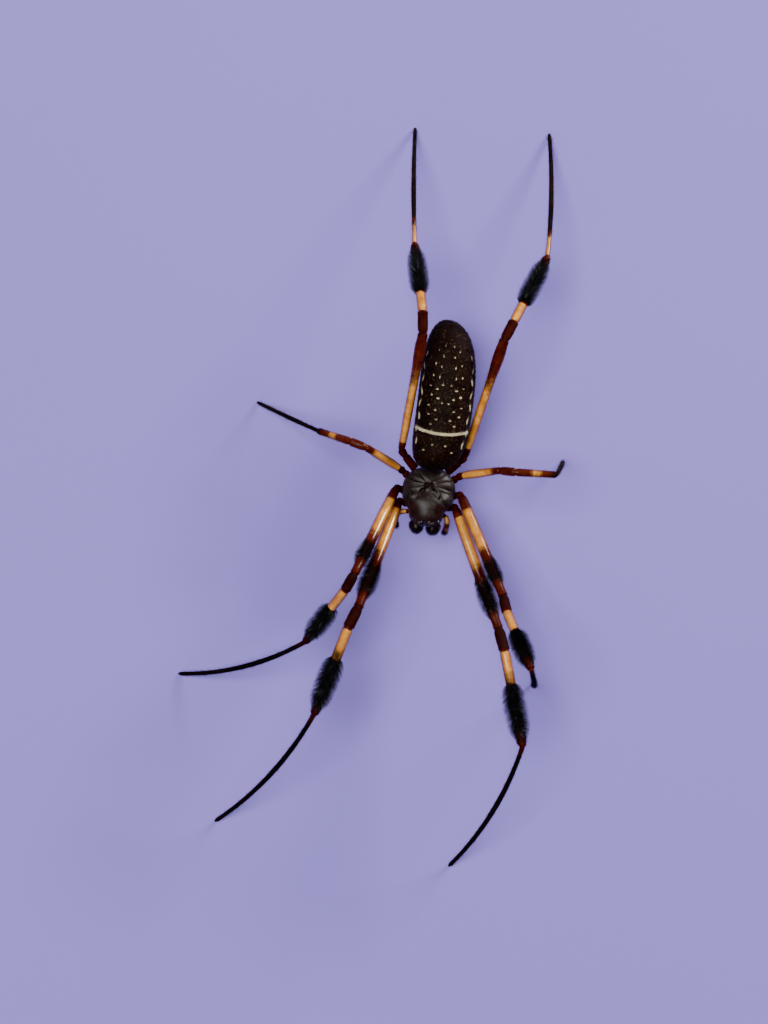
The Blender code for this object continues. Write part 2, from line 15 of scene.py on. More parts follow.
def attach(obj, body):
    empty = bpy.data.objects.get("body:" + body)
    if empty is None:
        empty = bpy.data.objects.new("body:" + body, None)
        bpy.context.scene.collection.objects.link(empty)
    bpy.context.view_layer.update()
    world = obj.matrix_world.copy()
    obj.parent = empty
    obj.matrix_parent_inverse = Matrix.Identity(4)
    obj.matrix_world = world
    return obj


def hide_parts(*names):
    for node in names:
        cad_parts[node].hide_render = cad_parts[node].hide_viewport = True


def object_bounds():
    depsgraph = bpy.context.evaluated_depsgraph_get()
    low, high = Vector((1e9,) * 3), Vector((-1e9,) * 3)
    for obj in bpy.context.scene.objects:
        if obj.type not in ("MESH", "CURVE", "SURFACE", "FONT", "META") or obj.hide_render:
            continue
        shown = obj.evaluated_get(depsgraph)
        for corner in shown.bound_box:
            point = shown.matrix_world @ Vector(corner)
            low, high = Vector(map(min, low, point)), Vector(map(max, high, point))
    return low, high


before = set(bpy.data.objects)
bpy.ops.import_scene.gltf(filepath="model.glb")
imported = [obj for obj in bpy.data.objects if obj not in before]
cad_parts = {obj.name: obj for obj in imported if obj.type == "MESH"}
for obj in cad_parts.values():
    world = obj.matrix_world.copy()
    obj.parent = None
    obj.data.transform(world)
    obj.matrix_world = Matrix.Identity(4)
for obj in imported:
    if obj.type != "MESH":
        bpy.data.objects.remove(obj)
cad_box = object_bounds()

# ---------------------------------------------------------------------------------------------
# The floor: one plain sheet of pale violet, matt, with a slight unevenness of tone.
FLOOR_SIZE = 3.0
FLOOR_COLOUR = (0.278, 0.205, 0.700, 1)
FLOOR_SHADE = 0.93  # the colour's share that is left in the dullest patches


def feed(tree, fed_node, inputs):
    """Gives a node's inputs their values, or links them to other nodes' outputs."""
    for socket, value in inputs.items():
        if isinstance(value, bpy.types.NodeSocket):
            tree.links.new(value, fed_node.inputs[socket])
        else:
            fed_node.inputs[socket].default_value = value


def add_node(tree, kind, inputs, **settings):
    """A new shader node of this kind, with these inputs and settings."""
    made = tree.nodes.new("ShaderNode" + kind)
    for setting, value in settings.items():
        setattr(made, setting, value)
    feed(tree, made, inputs)
    return made


bpy.ops.object.select_all(action="DESELECT")
bpy.ops.mesh.primitive_plane_add(size=FLOOR_SIZE)
floor = bpy.context.object
floor.name = "floor"
floor_finish = bpy.data.materials.new("floor_sheet")
floor_finish.use_nodes = True
floor_tree = floor_finish.node_tree
floor_place = add_node(floor_tree, "TexCoord", {}).outputs["Object"]
floor_cloud = add_node(floor_tree, "TexNoise", {"Vector": floor_place, "Scale": 9.0, "Detail": 4.0})
floor_tones = {
    "Factor": floor_cloud.outputs["Fac"],
    "A": FLOOR_COLOUR,
    "B": (*(FLOOR_SHADE * channel for channel in FLOOR_COLOUR[:3]), 1),
}
floor_tone = add_node(floor_tree, "Mix", floor_tones, data_type="RGBA").outputs["Result"]
feed(floor_tree, floor_tree.nodes["Principled BSDF"], {"Base Color": floor_tone, "Roughness": 0.75})
floor.data.materials.append(floor_finish)

# ---------------------------------------------------------------------------------------------
# The light: a broad soft lamp high on the left, a weaker one low in front, a short strip to the
# right that runs thin lines down the glossy legs, and a dim pale room.
LAMPS = {
    # name: (place in metres, width and length in metres, power in watts)
    "key_lamp": ((-0.28, 0.10, 1.12), (0.80, 0.80), 26.5),
    "fill_lamp": ((-0.20, -0.45, 0.30), (0.40, 0.40), 0.6),
    "strip_lamp": ((0.52, 0.455, 0.25), (0.325, 0.076), 10.0),
}
ROOM_COLOUR = (0.86, 0.85, 1.0, 1)
ROOM_STRENGTH = 0.20

for lamp_name, (lamp_place, lamp_size, lamp_power) in LAMPS.items():
    bpy.ops.object.light_add(type="AREA", location=lamp_place)
    lamp = bpy.context.object
    lamp.name = lamp_name
    lamp.data.shape = "ELLIPSE"
    lamp.data.size, lamp.data.size_y = lamp_size
    lamp.data.energy = lamp_power
    lamp.rotation_euler = Vector(lamp_place).to_track_quat("Z", "Y").to_euler()
room = bpy.data.worlds.new("room")
bpy.context.scene.world = room
room.use_nodes = True
room_light = {"Color": ROOM_COLOUR, "Strength": ROOM_STRENGTH}
feed(room.node_tree, room.node_tree.nodes["Background"], room_light)

# ---------------------------------------------------------------------------------------------
# The camera: straight above the spider, looking down, with the head towards the picture's foot.
CAMERA_HEIGHT = 0.8
SEEN_HEIGHT = 0.13824  # how much of the scene the picture's long side takes in
SUBJECT_HEIGHT = 0.007
CAMERA_AIM = (0.00173, -0.00199)

bpy.ops.object.camera_add(location=(*CAMERA_AIM, SUBJECT_HEIGHT + CAMERA_HEIGHT))
camera = bpy.context.object
camera.name = "camera"
camera.data.sensor_width = 36.0
camera.data.lens = camera.data.sensor_width * CAMERA_HEIGHT / SEEN_HEIGHT
camera.data.clip_start = 0.05
camera.data.clip_end = 10.0
bpy.context.scene.camera = camera
bpy.context.scene.view_settings.look = "AgX - Punchy"

# ---------------------------------------------------------------------------------------------
# The head and chest: one hard dark shield over the sternum, high at the head, with a pit and
# grooves where the muscles hold, two small horns, the eyes' tubercles and the mouth parts below.
MM = 0.001
HEADING = math.radians(-6.5)
WAIST = Vector((8.21, 4.76, 0.0)) * MM
CHEST_REAR = -0.65
CHEST_LENGTH = 8.1
MARGIN_HEIGHT = 6.7
THORAX_HALF_WIDTH = 3.6
HEAD_HALF_WIDTH = 2.35
THORAX_RISE = 1.75
HEAD_RISE = 2.6
STERNUM_HALF_WIDTH = 1.95
STERNUM_DEPTH = 2.1
FACE_SLANT = 1.2
CHEST_VOXEL = 0.075
RIPPLES_PER_METRE = 2600.0
CLOUDS_PER_METRE = 700.0
GRAIN_DEPTH = 0.00003  # metres
BODY_TO_FLOOR = Matrix.Translation(WAIST) @ Matrix.Rotation(HEADING, 4, "Z") @ Matrix.Scale(MM, 4)
SIDES = (("left", 1), ("right", -1))


def points_of(piece):
    """The piece's vertices as an array with a row for each."""
    flat = np.empty(len(piece.data.vertices) * 3)
    piece.data.vertices.foreach_get("co", flat)
    return flat.reshape(-1, 3)


def put_points(piece, points):
    piece.data.vertices.foreach_set("co", np.ascontiguousarray(points).ravel())
    piece.data.update()


def normals_of(piece):
    flat = np.empty(len(piece.data.vertices) * 3, np.float32)
    piece.data.vertices.foreach_get("normal", flat)
    return flat.reshape(-1, 3).astype(float)


def hump(share, middle, half_length, fullness):
    """1 at the middle and 0 at both ends; a greater fullness makes it squarer."""
    reach = np.minimum(1.0, np.abs(share - middle) / half_length)
    return np.sqrt(1.0 - reach**fullness)


def merged(first, second):
    """The greater of two humps, with the valley between them softened."""
    return (first**6 + second**6) ** (1.0 / 6.0)


def bell(value, middle, width, steepness=2):
    """1 at the middle, fading to 0 on both sides; a greater steepness gives it a flat top."""
    return np.exp(-(((value - middle) / width) ** steepness))


def on_side(places, side):
    """The places as given for the left side, or mirrored to the right where the side is -1."""
    return np.array(places) * (side, 1, 1)


def chest_points(share, angle):
    """Points of the head and chest, from its rear (share 0) to its front (share 1)."""
    half_width = merged(
        THORAX_HALF_WIDTH * hump(share, 0.40, 0.40, 2.4),
        HEAD_HALF_WIDTH * hump(share, 0.72, 0.28, 3.5),
    )
    rise = merged(
        THORAX_RISE * hump(share, 0.42, 0.42, 2.2),
        HEAD_RISE * hump(share, 0.70, 0.30, 3.0),
    )
    under = merged(
        STERNUM_HALF_WIDTH * hump(share, 0.44, 0.44, 2.6),
        0.8 * STERNUM_HALF_WIDTH * hump(share, 0.75, 0.25, 3.0),
    )
    under = np.minimum(under, half_width)
    side, up = np.cos(angle), np.sin(angle)
    down = np.maximum(0.0, -up)
    turn = np.arcsin(np.minimum(1.0, down)) / (math.pi / 2.0)
    lip = np.maximum(0.0, 1.0 - turn / 0.28) ** 1.5
    across = under * np.abs(np.cos(turn * math.pi / 2.0)) ** 0.6 + (half_width - under) * lip
    drop = STERNUM_DEPTH * hump(share, 0.48, 0.52, 3.5) * down**1.35
    slant = FACE_SLANT * down * np.maximum(0.0, (share - 0.6) / 0.4)
    back = CHEST_REAR - CHEST_LENGTH * share
    above = up >= 0.0
    return np.column_stack((
        np.where(above, half_width * side, np.copysign(across, side)),
        np.where(above, back, back + slant),
        np.where(above, MARGIN_HEIGHT + rise * up, MARGIN_HEIGHT - drop),
    ))


def ball(centre, half_sizes, around=32, along=24):
    """A stretched ball, still by itself."""
    bpy.ops.object.select_all(action="DESELECT")
    bpy.ops.mesh.primitive_uv_sphere_add(segments=around, ring_count=along, radius=1.0, location=centre)
    made = bpy.context.object
    made.scale = half_sizes
    bpy.ops.object.transform_apply(location=True, rotation=True, scale=True)
    return made


def shaped_ball(shape, around, along):
    """A sphere whose points go where shape(share of the length, angle round it) says."""
    made = ball((0, 0, 0), (1, 1, 1), around, along)
    points = points_of(made)
    share = (1.0 + np.clip(points[:, 2], -1.0, 1.0)) / 2.0
    put_points(made, shape(share, np.arctan2(points[:, 1], points[:, 0])))
    return made


def joined(name, parts):
    """Makes one object of several."""
    bpy.ops.object.select_all(action="DESELECT")
    for part in parts:
        part.select_set(True)
    bpy.context.view_layer.objects.active = parts[0]
    bpy.ops.object.join()
    parts[0].name = name
    return parts[0]


def one_skin(name, parts, voxel, smoothing):
    """Melts overlapping closed shapes into one skin with softened creases."""
    skin = joined(name, parts)
    bpy.ops.object.mode_set(mode="EDIT")
    bpy.ops.mesh.select_all(action="SELECT")
    bpy.ops.mesh.normals_make_consistent(inside=False)
    bpy.ops.object.mode_set(mode="OBJECT")
    remesh = skin.modifiers.new("melt", "REMESH")
    remesh.mode = "VOXEL"
    remesh.voxel_size = voxel
    bpy.ops.object.modifier_apply(modifier=remesh.name)
    soften = skin.modifiers.new("soften", "SMOOTH")
    soften.factor = 0.5
    soften.iterations = smoothing
    bpy.ops.object.modifier_apply(modifier=soften.name)
    return skin


def settle(piece, finish, slot, *nodes):
    """Stands the piece in its place, smooth and finished, as part of the whole."""
    piece.data.transform(BODY_TO_FLOOR)
    piece.data.materials.clear()
    piece.data.materials.append(finish)
    piece.data.shade_smooth()
    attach(piece, "root")
    if nodes:
        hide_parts(*nodes)
    return piece


def measure(piece, name, values):
    """Keeps one value for each vertex, for the piece's finish to read."""
    kept = piece.data.attributes.new(name, "FLOAT", "POINT")
    kept.data.foreach_set("value", np.ascontiguousarray(values, np.float32))


# Centre and half sizes of what grows from the shield, for the left of each pair.
CHEST_GROWTHS = {
    "endite": ((0.85, -6.35, 4.95), (0.6, 0.95, 0.6)),
    "labium": ((0.0, -5.9, 4.9), (0.45, 0.55, 0.5)),
    "horn": ((0.55, -3.55, 8.5), (0.22, 0.28, 0.42)),
    "brow": ((0.75, -8.35, 8.15), (0.62, 0.4, 0.5)),
}
# The eyes: share of the length and angle on the shield, and the radius, for the left of each pair.
EYES = {
    "anterior_median": (0.978, math.radians(68), 0.24),
    "posterior_median": (0.925, math.radians(75), 0.22),
    "anterior_lateral": (0.960, math.radians(36), 0.19),
    "posterior_lateral": (0.900, math.radians(33), 0.19),
}


def eye_centre(pair, side):
    share, angle, _ = EYES[pair]
    return on_side(chest_points(np.array([share]), np.array([angle]))[0], side)


def near(points, start, end, width):
    """1 on the line from start to end (x, y), fading to 0 a width away."""
    start, end = np.array(start), np.array(end)
    line = end - start
    along = np.clip(((points[:, :2] - start) @ line) / (line @ line), 0.0, 1.0)
    gap = np.linalg.norm(points[:, :2] - (start + along[:, None] * line), axis=1)
    return bell(gap, 0.0, width)


chest_parts = [shaped_ball(chest_points, 128, 96)]
for _, side in SIDES:
    for centre, half_sizes in CHEST_GROWTHS.values():
        chest_parts.append(ball(on_side(centre, side), half_sizes))
    lateral = (eye_centre("anterior_lateral", side) + eye_centre("posterior_lateral", side)) / 2.0
    chest_parts.append(ball(lateral + on_side((-0.12, 0.1, -0.1), side), (0.34, 0.5, 0.3)))
chest = one_skin("skin_head_and_chest", chest_parts, CHEST_VOXEL, 4)

# The pit in the middle of the back, the groove behind the head, and the furrows that run out to
# each leg. Start and end (x, y), width and depth, for the left of each pair.
FURROWS = (
    ((0.0, -3.05), (0.40, -3.05), 0.18, 0.26),
    ((0.25, -3.25), (1.35, -4.55), 0.24, 0.26),
    ((1.35, -4.55), (2.45, -5.65), 0.24, 0.20),
    ((0.5, -3.1), (3.1, -3.7), 0.18, 0.10),
    ((0.5, -2.9), (3.0, -2.4), 0.18, 0.10),
    ((0.4, -2.7), (2.2, -1.2), 0.18, 0.10),
)
chest_points_now = points_of(chest)
mirrored = np.abs(chest_points_now) * (1, 0, 0) + chest_points_now * (0, 1, 1)
on_top = np.clip((chest_points_now[:, 2] - MARGIN_HEIGHT) / 0.5, 0.0, 1.0)
sunk = on_top * sum(depth * near(mirrored, start, end, width) for start, end, width, depth in FURROWS)
put_points(chest, chest_points_now - normals_of(chest) * sunk[:, None])

# Bare dark patches among the silver hair: the furrows, pairs of spots beside them, the margin all
# round, and the sides and the front of the head.
BARE_SPOTS = (
    ((0.85, -2.35), 0.26), ((1.85, -3.0), 0.26), ((1.45, -3.85), 0.24), ((2.1, -1.9), 0.22),
    ((2.5, -3.2), 0.20), ((0.55, -5.2), 0.20), ((0.62, -6.2), 0.18), ((2.3, -4.4), 0.22),
)


def bare_of_hair(points):
    """How bare the back is at these points of the spider's own frame, from 0 to 1."""
    folded = np.column_stack((np.abs(points[:, 0]), points[:, 1]))
    bare = np.zeros(len(points))
    for index, (start, end, width, _) in enumerate(FURROWS):
        bare = np.maximum(bare, (1.0 if index < 3 else 0.75) * near(folded, start, end, 1.15 * width))
    for (across, along), radius in BARE_SPOTS:
        gap = np.hypot(folded[:, 0] - across, folded[:, 1] - along)
        bare = np.maximum(bare, np.clip((radius - gap) / 0.08 + 0.5, 0.0, 1.0))
    margin = np.clip((0.62 - (points[:, 2] - MARGIN_HEIGHT)) / 0.25, 0.0, 1.0)
    head = np.clip((-5.3 - folded[:, 1]) / 0.6, 0.0, 1.0)
    flank = head * np.clip((folded[:, 0] - 0.95) / 0.3, 0.0, 1.0)
    brow = np.clip((-7.2 - folded[:, 1]) / 0.5, 0.0, 1.0)
    return np.maximum.reduce([bare, margin, 0.9 * flank, 0.9 * brow])


def own_frame(points):
    """Points of the floor's frame, in metres, as points of the spider's own frame."""
    back = np.array(BODY_TO_FLOOR.inverted())
    return points @ back[:3, :3].T + back[:3, 3]


measure(chest, "bare", bare_of_hair(points_of(chest)))
measure(chest, "top", np.clip((points_of(chest)[:, 2] - MARGIN_HEIGHT + 0.2) / 0.5, 0.0, 1.0))


def new_group(name, inputs, outputs):
    """A new shader node group with these sockets, and the values that it is given."""
    group = bpy.data.node_groups.new(name, "ShaderNodeTree")
    for way, sockets in (("INPUT", inputs), ("OUTPUT", outputs)):
        for socket, kind in sockets.items():
            group.interface.new_socket(socket, in_out=way, socket_type="NodeSocket" + kind)
    return group, group.nodes.new("NodeGroupInput").outputs


def skin_grain():
    """The fine grain of hard skin: pores, low ripples and a slow change of tone."""
    inputs = {"Place": "Vector", "Pores per metre": "Float"}
    group, given = new_group("skin_grain", inputs, {"Height": "Float", "Mottle": "Float"})
    place = {"Vector": given["Place"]}
    pored = {**place, "Scale": given["Pores per metre"]}
    cells = add_node(group, "TexVoronoi", pored, feature="SMOOTH_F1")
    ripple = add_node(group, "TexNoise", {**place, "Scale": RIPPLES_PER_METRE, "Detail": 5.0})
    heights = {0: cells.outputs["Distance"], 1: 0.6, 2: ripple.outputs["Fac"]}
    height = add_node(group, "Math", heights, operation="MULTIPLY_ADD").outputs["Value"]
    clouding = {**place, "Scale": CLOUDS_PER_METRE, "Detail": 6.0, "Roughness": 0.6}
    cloud = add_node(group, "TexNoise", clouding)
    limits = {"Value": cloud.outputs["Fac"], "From Min": 0.35, "From Max": 0.68}
    mottle = add_node(group, "MapRange", limits).outputs["Result"]
    feed(group, group.nodes.new("NodeGroupOutput"), {"Height": height, "Mottle": mottle})
    return group


def frayed_edge():
    """A mask whose edges are broken up by the mottle, the more so the greater the amount."""
    inputs = {"Mask": "Float", "Mottle": "Float", "Amount": "Float"}
    group, given = new_group("frayed_edge", inputs, {"Frayed": "Float"})
    shift = add_node(group, "MapRange", {"Value": given["Mottle"], "To Min": -1.0, "To Max": 1.0})
    shifts = {0: shift.outputs["Result"], 1: given["Amount"], 2: given["Mask"]}
    moved = add_node(group, "Math", shifts, operation="MULTIPLY_ADD", use_clamp=True)
    limits = {"Value": moved.outputs["Value"], "From Min": 0.25, "From Max": 0.75}
    edge = add_node(group, "MapRange", limits, interpolation_type="SMOOTHSTEP")
    feed(group, group.nodes.new("NodeGroupOutput"), {"Frayed": edge.outputs["Result"]})
    return group


SKIN_GRAIN = skin_grain()
FRAYED_EDGE = frayed_edge()


class Finish:
    """A material that is put together one layer at a time over the grain of the skin."""

    def __init__(self, name, base, roughness, bump, pores=9000.0):
        self.material = bpy.data.materials.new(name)
        self.material.use_nodes = True
        self.tree = self.material.node_tree
        self.shader = self.tree.nodes["Principled BSDF"]
        self.place = add_node(self.tree, "TexCoord", {}).outputs["Object"]
        grain_inputs = {"Place": self.place, "Pores per metre": pores}
        grain = add_node(self.tree, "Group", grain_inputs, node_tree=SKIN_GRAIN)
        self.mottle = grain.outputs["Mottle"]
        raised = {"Height": grain.outputs["Height"], "Strength": bump, "Distance": GRAIN_DEPTH}
        normal = add_node(self.tree, "Bump", raised).outputs["Normal"]
        feed(self.tree, self.shader, {"Roughness": roughness, "Normal": normal})
        self.colour = self.mixed(self.mottle, *base)

    def mixed(self, factor, below, above):
        """A colour between two, which are colours or outputs."""
        below, above = ((*tone, 1.0) if isinstance(tone, tuple) else tone for tone in (below, above))
        tones = {"Factor": factor, "A": below, "B": above}
        return add_node(self.tree, "Mix", tones, data_type="RGBA").outputs["Result"]

    def kept(self, name):
        """The value that the piece's vertices keep under this name."""
        return add_node(self.tree, "Attribute", {}, attribute_name=name).outputs["Fac"]

    def ranged(self, value, limits):
        """The value, moved from one range to another."""
        return add_node(self.tree, "MapRange", {"Value": value, **limits}).outputs["Result"]

    def less(self, value, taken):
        """One value less another, kept between 0 and 1."""
        pair = {0: value, 1: taken}
        return add_node(self.tree, "Math", pair, operation="SUBTRACT", use_clamp=True).outputs["Value"]

    def frayed(self, mask, amount):
        """The mask with its edges broken up by the skin's mottle."""
        inputs = {"Mask": mask, "Mottle": self.mottle, "Amount": amount}
        return add_node(self.tree, "Group", inputs, node_tree=FRAYED_EDGE).outputs["Frayed"]

    def painted(self, where, dark, light, fray=0.0):
        """Lays a mottled pair of colours where an output, or a kept value of this name, says."""
        factor = self.kept(where) if isinstance(where, str) else where
        factor = self.frayed(factor, fray) if fray else factor
        self.colour = self.mixed(factor, self.colour, self.mixed(self.mottle, dark, light))
        return self

    def done(self, **settings):
        """The material, with the rest of its shader's inputs."""
        inputs = {socket.replace("_", " "): value for socket, value in settings.items()}
        feed(self.tree, self.shader, {"Base Color": self.colour, **inputs})
        return self.material


CHEST_BROWN = ((0.009, 0.004, 0.003), (0.026, 0.009, 0.007))
SILVER_FELT = ((0.009, 0.006, 0.005), (0.024, 0.016, 0.013))
chest_finish = Finish("chest_shield", CHEST_BROWN, 0.42, 0.5)
felted = chest_finish.less(chest_finish.kept("top"), chest_finish.kept("bare"))
chest_finish = chest_finish.painted(felted, *SILVER_FELT, fray=0.3).done(Specular_IOR_Level=0.3)
settle(chest, chest_finish, "carapace", "cephalothorax")

# ---------------------------------------------------------------------------------------------
# The eyes: eight glassy black domes in two rows, the outer ones on their tubercles.
EYE_BLACK = ((0.004, 0.004, 0.005), (0.012, 0.010, 0.009))
eye_finish = Finish("eye_glass", EYE_BLACK, 0.06, 0.0).done(Coat_Weight=1.0, Coat_Roughness=0.03)
for pair, (_, _, eye_radius) in EYES.items():
    for side_name, side in SIDES:
        eye = ball(eye_centre(pair, side), (eye_radius,) * 3, 32, 20)
        eye.name = "dome_" + pair + "_" + side_name
        settle(eye, eye_finish, "eye", "eye_" + pair + "_" + side_name)

# ---------------------------------------------------------------------------------------------
# The chelicerae: two stout glossy black barrels under the brow, each with a knuckle at its root
# and a curved fang folded in across its lower end.
CHELICERA_CENTRE = (1.08, -8.35, 5.75)
CHELICERA_HALF_SIZES = (0.93, 1.2, 1.85)
CHELICERA_LEAN = 0.28
CHELICERA_BLACK = ((0.003, 0.002, 0.002), (0.011, 0.005, 0.004))
FANG_RED = ((0.010, 0.004, 0.003), (0.085, 0.020, 0.010))
FANG_PATH = (
    (1.5, -8.05, 3.75), (1.42, -7.85, 3.4), (1.15, -7.6, 3.2), (0.8, -7.35, 3.12), (0.48, -7.12, 3.22),
)
FANG_RADII = (0.30, 0.27, 0.22, 0.15, 0.03)

chelicera_finish = Finish("chelicera_gloss", CHELICERA_BLACK, 0.42, 0.5)
chelicera_finish = chelicera_finish.done(Specular_IOR_Level=0.2, Coat_Weight=0.08, Coat_Roughness=0.25)
fang_finish = Finish("fang_gloss", FANG_RED, 0.14, 0.1).done(Coat_Weight=0.5, Coat_Roughness=0.08)


def smooth_line(corners, steps):
    """Points and their shares along a smooth curve through the corners."""
    corners = np.array(corners, float)
    padded = np.vstack((2 * corners[0] - corners[1], corners, 2 * corners[-1] - corners[-2]))
    places = []
    for index in range(len(corners) - 1):
        before, start, end, after = padded[index:index + 4]
        for step in range(steps):
            t = step / steps
            places.append(0.5 * (
                2 * start + (end - before) * t + (2 * before - 5 * start + 4 * end - after) * t**2
                + (3 * start - before - 3 * end + after) * t**3
            ))
    places.append(corners[-1])
    return np.array(places), np.linspace(0.0, 1.0, len(places))


def tube_through(name, points, radii, roundness):
    """A closed round tube through the points, of four sides more for each step of roundness."""
    bpy.ops.object.select_all(action="DESELECT")
    bpy.ops.curve.primitive_nurbs_path_add()
    made = bpy.context.object
    made.name = name
    made.location = (0, 0, 0)
    made.data.splines.clear()
    spline = made.data.splines.new("POLY")
    spline.points.add(len(points) - 1)
    spline.points.foreach_set("co", np.column_stack((points, np.ones(len(points)))).ravel())
    spline.points.foreach_set("radius", np.asarray(radii, float))
    made.data.dimensions = "3D"
    made.data.bevel_depth = 1.0
    made.data.bevel_resolution = roundness
    made.data.use_fill_caps = True
    bpy.ops.object.convert(target="MESH")
    bpy.ops.object.mode_set(mode="EDIT")
    bpy.ops.mesh.select_all(action="SELECT")
    bpy.ops.mesh.remove_doubles(threshold=0.0005)
    bpy.ops.mesh.normals_make_consistent(inside=False)
    bpy.ops.object.mode_set(mode="OBJECT")
    return bpy.context.object


chelicerae = []
for side_name, side in SIDES:
    def chelicera_points(share, angle, side=side):
        rise = 2.0 * share - 1.0
        girth = np.sqrt(np.maximum(0.0, 1.0 - np.abs(rise) ** 2.8)) * (1.0 + 0.12 * rise)
        knuckle = 1.0 + 0.10 * bell(rise, 0.62, 0.16) * np.maximum(0.0, np.cos(angle))
        inner = 1.0 - 0.14 * bell(np.abs(angle), math.pi, 0.5)
        across = CHELICERA_HALF_SIZES[0] * girth * knuckle * inner * np.cos(angle)
        forwards = CHELICERA_HALF_SIZES[1] * girth * np.sin(angle)
        forwards = forwards - CHELICERA_LEAN * CHELICERA_HALF_SIZES[2] * rise
        return np.column_stack((
            side * (CHELICERA_CENTRE[0] + across),
            CHELICERA_CENTRE[1] + forwards,
            CHELICERA_CENTRE[2] + CHELICERA_HALF_SIZES[2] * rise,
        ))

    barrel = shaped_ball(chelicera_points, 64, 56)
    mouth_edge = ball((side * 1.05, -7.75, 4.15), (0.62, 0.5, 0.35))
    chelicera = one_skin("skin_chelicera_" + side_name, [barrel, mouth_edge], 0.055, 3)
    settle(chelicera, chelicera_finish, "chelicera", "chelicera_" + side_name)
    chelicerae.append(chelicera)
    fang_line, fang_share = smooth_line(on_side(FANG_PATH, side), 8)
    fang_radii = np.interp(fang_share, np.linspace(0, 1, len(FANG_RADII)), FANG_RADII)
    fang = tube_through("curved_fang_" + side_name, fang_line, fang_radii, 4)
    settle(fang, fang_finish, "chelicera", "fang_" + side_name)

# ---------------------------------------------------------------------------------------------
# The abdomen: a long soft barrel, umber above and darker below, with a pale band over its
# shoulders, pale flecks in pairs, and the six spinnerets beneath the tail.
ABDOMEN_FRONT = -1.0
ABDOMEN_LENGTH = 20.25
ABDOMEN_HALF_WIDTH = 3.74
ABDOMEN_HALF_HEIGHT = 3.4
ABDOMEN_HEIGHT = 9.7
ABDOMEN_SAG = 0.8
ABDOMEN_BOW = 0.86
WIDEST = 0.45
SPINNERET_SHARE = 0.84
# Fore, middle and hind spinneret: how far back of the base, how far out, length, radius.
SPINNERETS = ((-0.3, 0.34, 1.0, 0.27), (0.05, 0.16, 0.6, 0.16), (0.4, 0.34, 1.0, 0.24))
PEDICEL_PATH = ((0, -1.6, 6.9), (0, -0.6, 6.95), (0, 0.2, 6.95), (0, 1.4, 7.0))


def abdomen_girth(share):
    fore = (1.0 - np.abs(1.0 - np.minimum(share, WIDEST) / WIDEST) ** 4.0) ** 0.32
    aft = np.maximum(0.0, 1.0 - (np.maximum(share - WIDEST, 0.0) / (1.0 - WIDEST)) ** 3.2) ** 0.4545
    return np.where(share < WIDEST, fore, aft)


def abdomen_bow(share):
    """How far the abdomen's axis bends to the spider's left."""
    return ABDOMEN_BOW * np.sqrt(np.maximum(0.0, np.sin(math.pi * share)))


def abdomen_points(share, angle):
    girth = abdomen_girth(share)
    return np.column_stack((
        abdomen_bow(share) + ABDOMEN_HALF_WIDTH * girth * np.cos(angle),
        ABDOMEN_FRONT + ABDOMEN_LENGTH * share,
        ABDOMEN_HEIGHT - ABDOMEN_SAG * share**2 + ABDOMEN_HALF_HEIGHT * girth * np.sin(angle),
    ))


spinneret_base = abdomen_points(np.array([SPINNERET_SHARE]), np.array([-math.pi / 2]))[0]
abdomen_parts = [shaped_ball(abdomen_points, 128, 120)]
abdomen_parts.append(ball(spinneret_base + (0, 0, -0.05), (0.8, 0.85, 0.5)))
for _, side in SIDES:
    for back, out, reach, girth in SPINNERETS:
        cone_root = spinneret_base + (side * out, back, -0.15)
        cone_tip = cone_root + (side * -0.05, 0.22, -reach)
        cone_line, cone_share = smooth_line([cone_root, (cone_root + cone_tip) / 2, cone_tip], 6)
        cone_radii = girth * (1.0 - 0.6 * cone_share**3)
        abdomen_parts.append(tube_through("spinneret", cone_line, cone_radii, 3))
pedicel_line, pedicel_share = smooth_line(PEDICEL_PATH, 6)
pedicel_radii = 0.52 - 0.12 * np.sin(math.pi * pedicel_share)
abdomen_parts.append(tube_through("pedicel", pedicel_line, pedicel_radii, 4))
abdomen = one_skin("skin_abdomen", abdomen_parts, 0.105, 4)


def abdomen_place(points):
    """Share of the length, angle round the axis, and distance across, of points of the abdomen."""
    share = np.clip((points[:, 1] - ABDOMEN_FRONT) / ABDOMEN_LENGTH, 0.0, 1.0)
    height = points[:, 2] - (ABDOMEN_HEIGHT - ABDOMEN_SAG * share**2)
    across = points[:, 0] - abdomen_bow(share)
    return share, np.arctan2(height, across), across


# The back's pale flecks, in pairs: share of the length, distance out, half length, half width.
BACK_FLECKS = (
    (0.33, 0.95, 0.24, 0.12), (0.39, 1.25, 0.22, 0.12), (0.44, 0.45, 0.18, 0.10),
    (0.47, 1.05, 0.22, 0.11), (0.53, 1.30, 0.22, 0.11), (0.56, 0.60, 0.18, 0.10),
    (0.61, 1.10, 0.20, 0.10), (0.68, 0.95, 0.20, 0.10), (0.75, 0.75, 0.18, 0.09),
    (0.82, 0.60, 0.16, 0.09), (0.36, 2.05, 0.20, 0.10), (0.42, 2.20, 0.18, 0.10),
    (0.49, 1.95, 0.18, 0.10), (0.55, 2.20, 0.18, 0.10), (0.62, 1.95, 0.16, 0.09),
    (0.70, 1.75, 0.16, 0.09), (0.79, 1.40, 0.14, 0.08), (0.16, 0.90, 0.20, 0.11),
    (0.12, 1.90, 0.18, 0.10), (0.295, 1.60, 0.20, 0.10),
)
CROSSWISE_UP_TO = 0.6  # the share of the length from which the flecks lie lengthwise
FLECK_PALENESS = 0.72
# The belly's flecks: share of the length, and distance out to the left (a minus is the right).
BELLY_FLECKS = (
    (0.37, -1.7), (0.375, 0.35), (0.41, -0.6), (0.455, -0.1), (0.445, 0.85), (0.49, -0.45),
    (0.50, 0.4), (0.535, 0.05), (0.57, -0.9), (0.60, 0.6), (0.64, -0.2), (0.68, 0.9),
)
BAND_SHARE = 0.235
BELLY_BAND_SHARE = 0.27


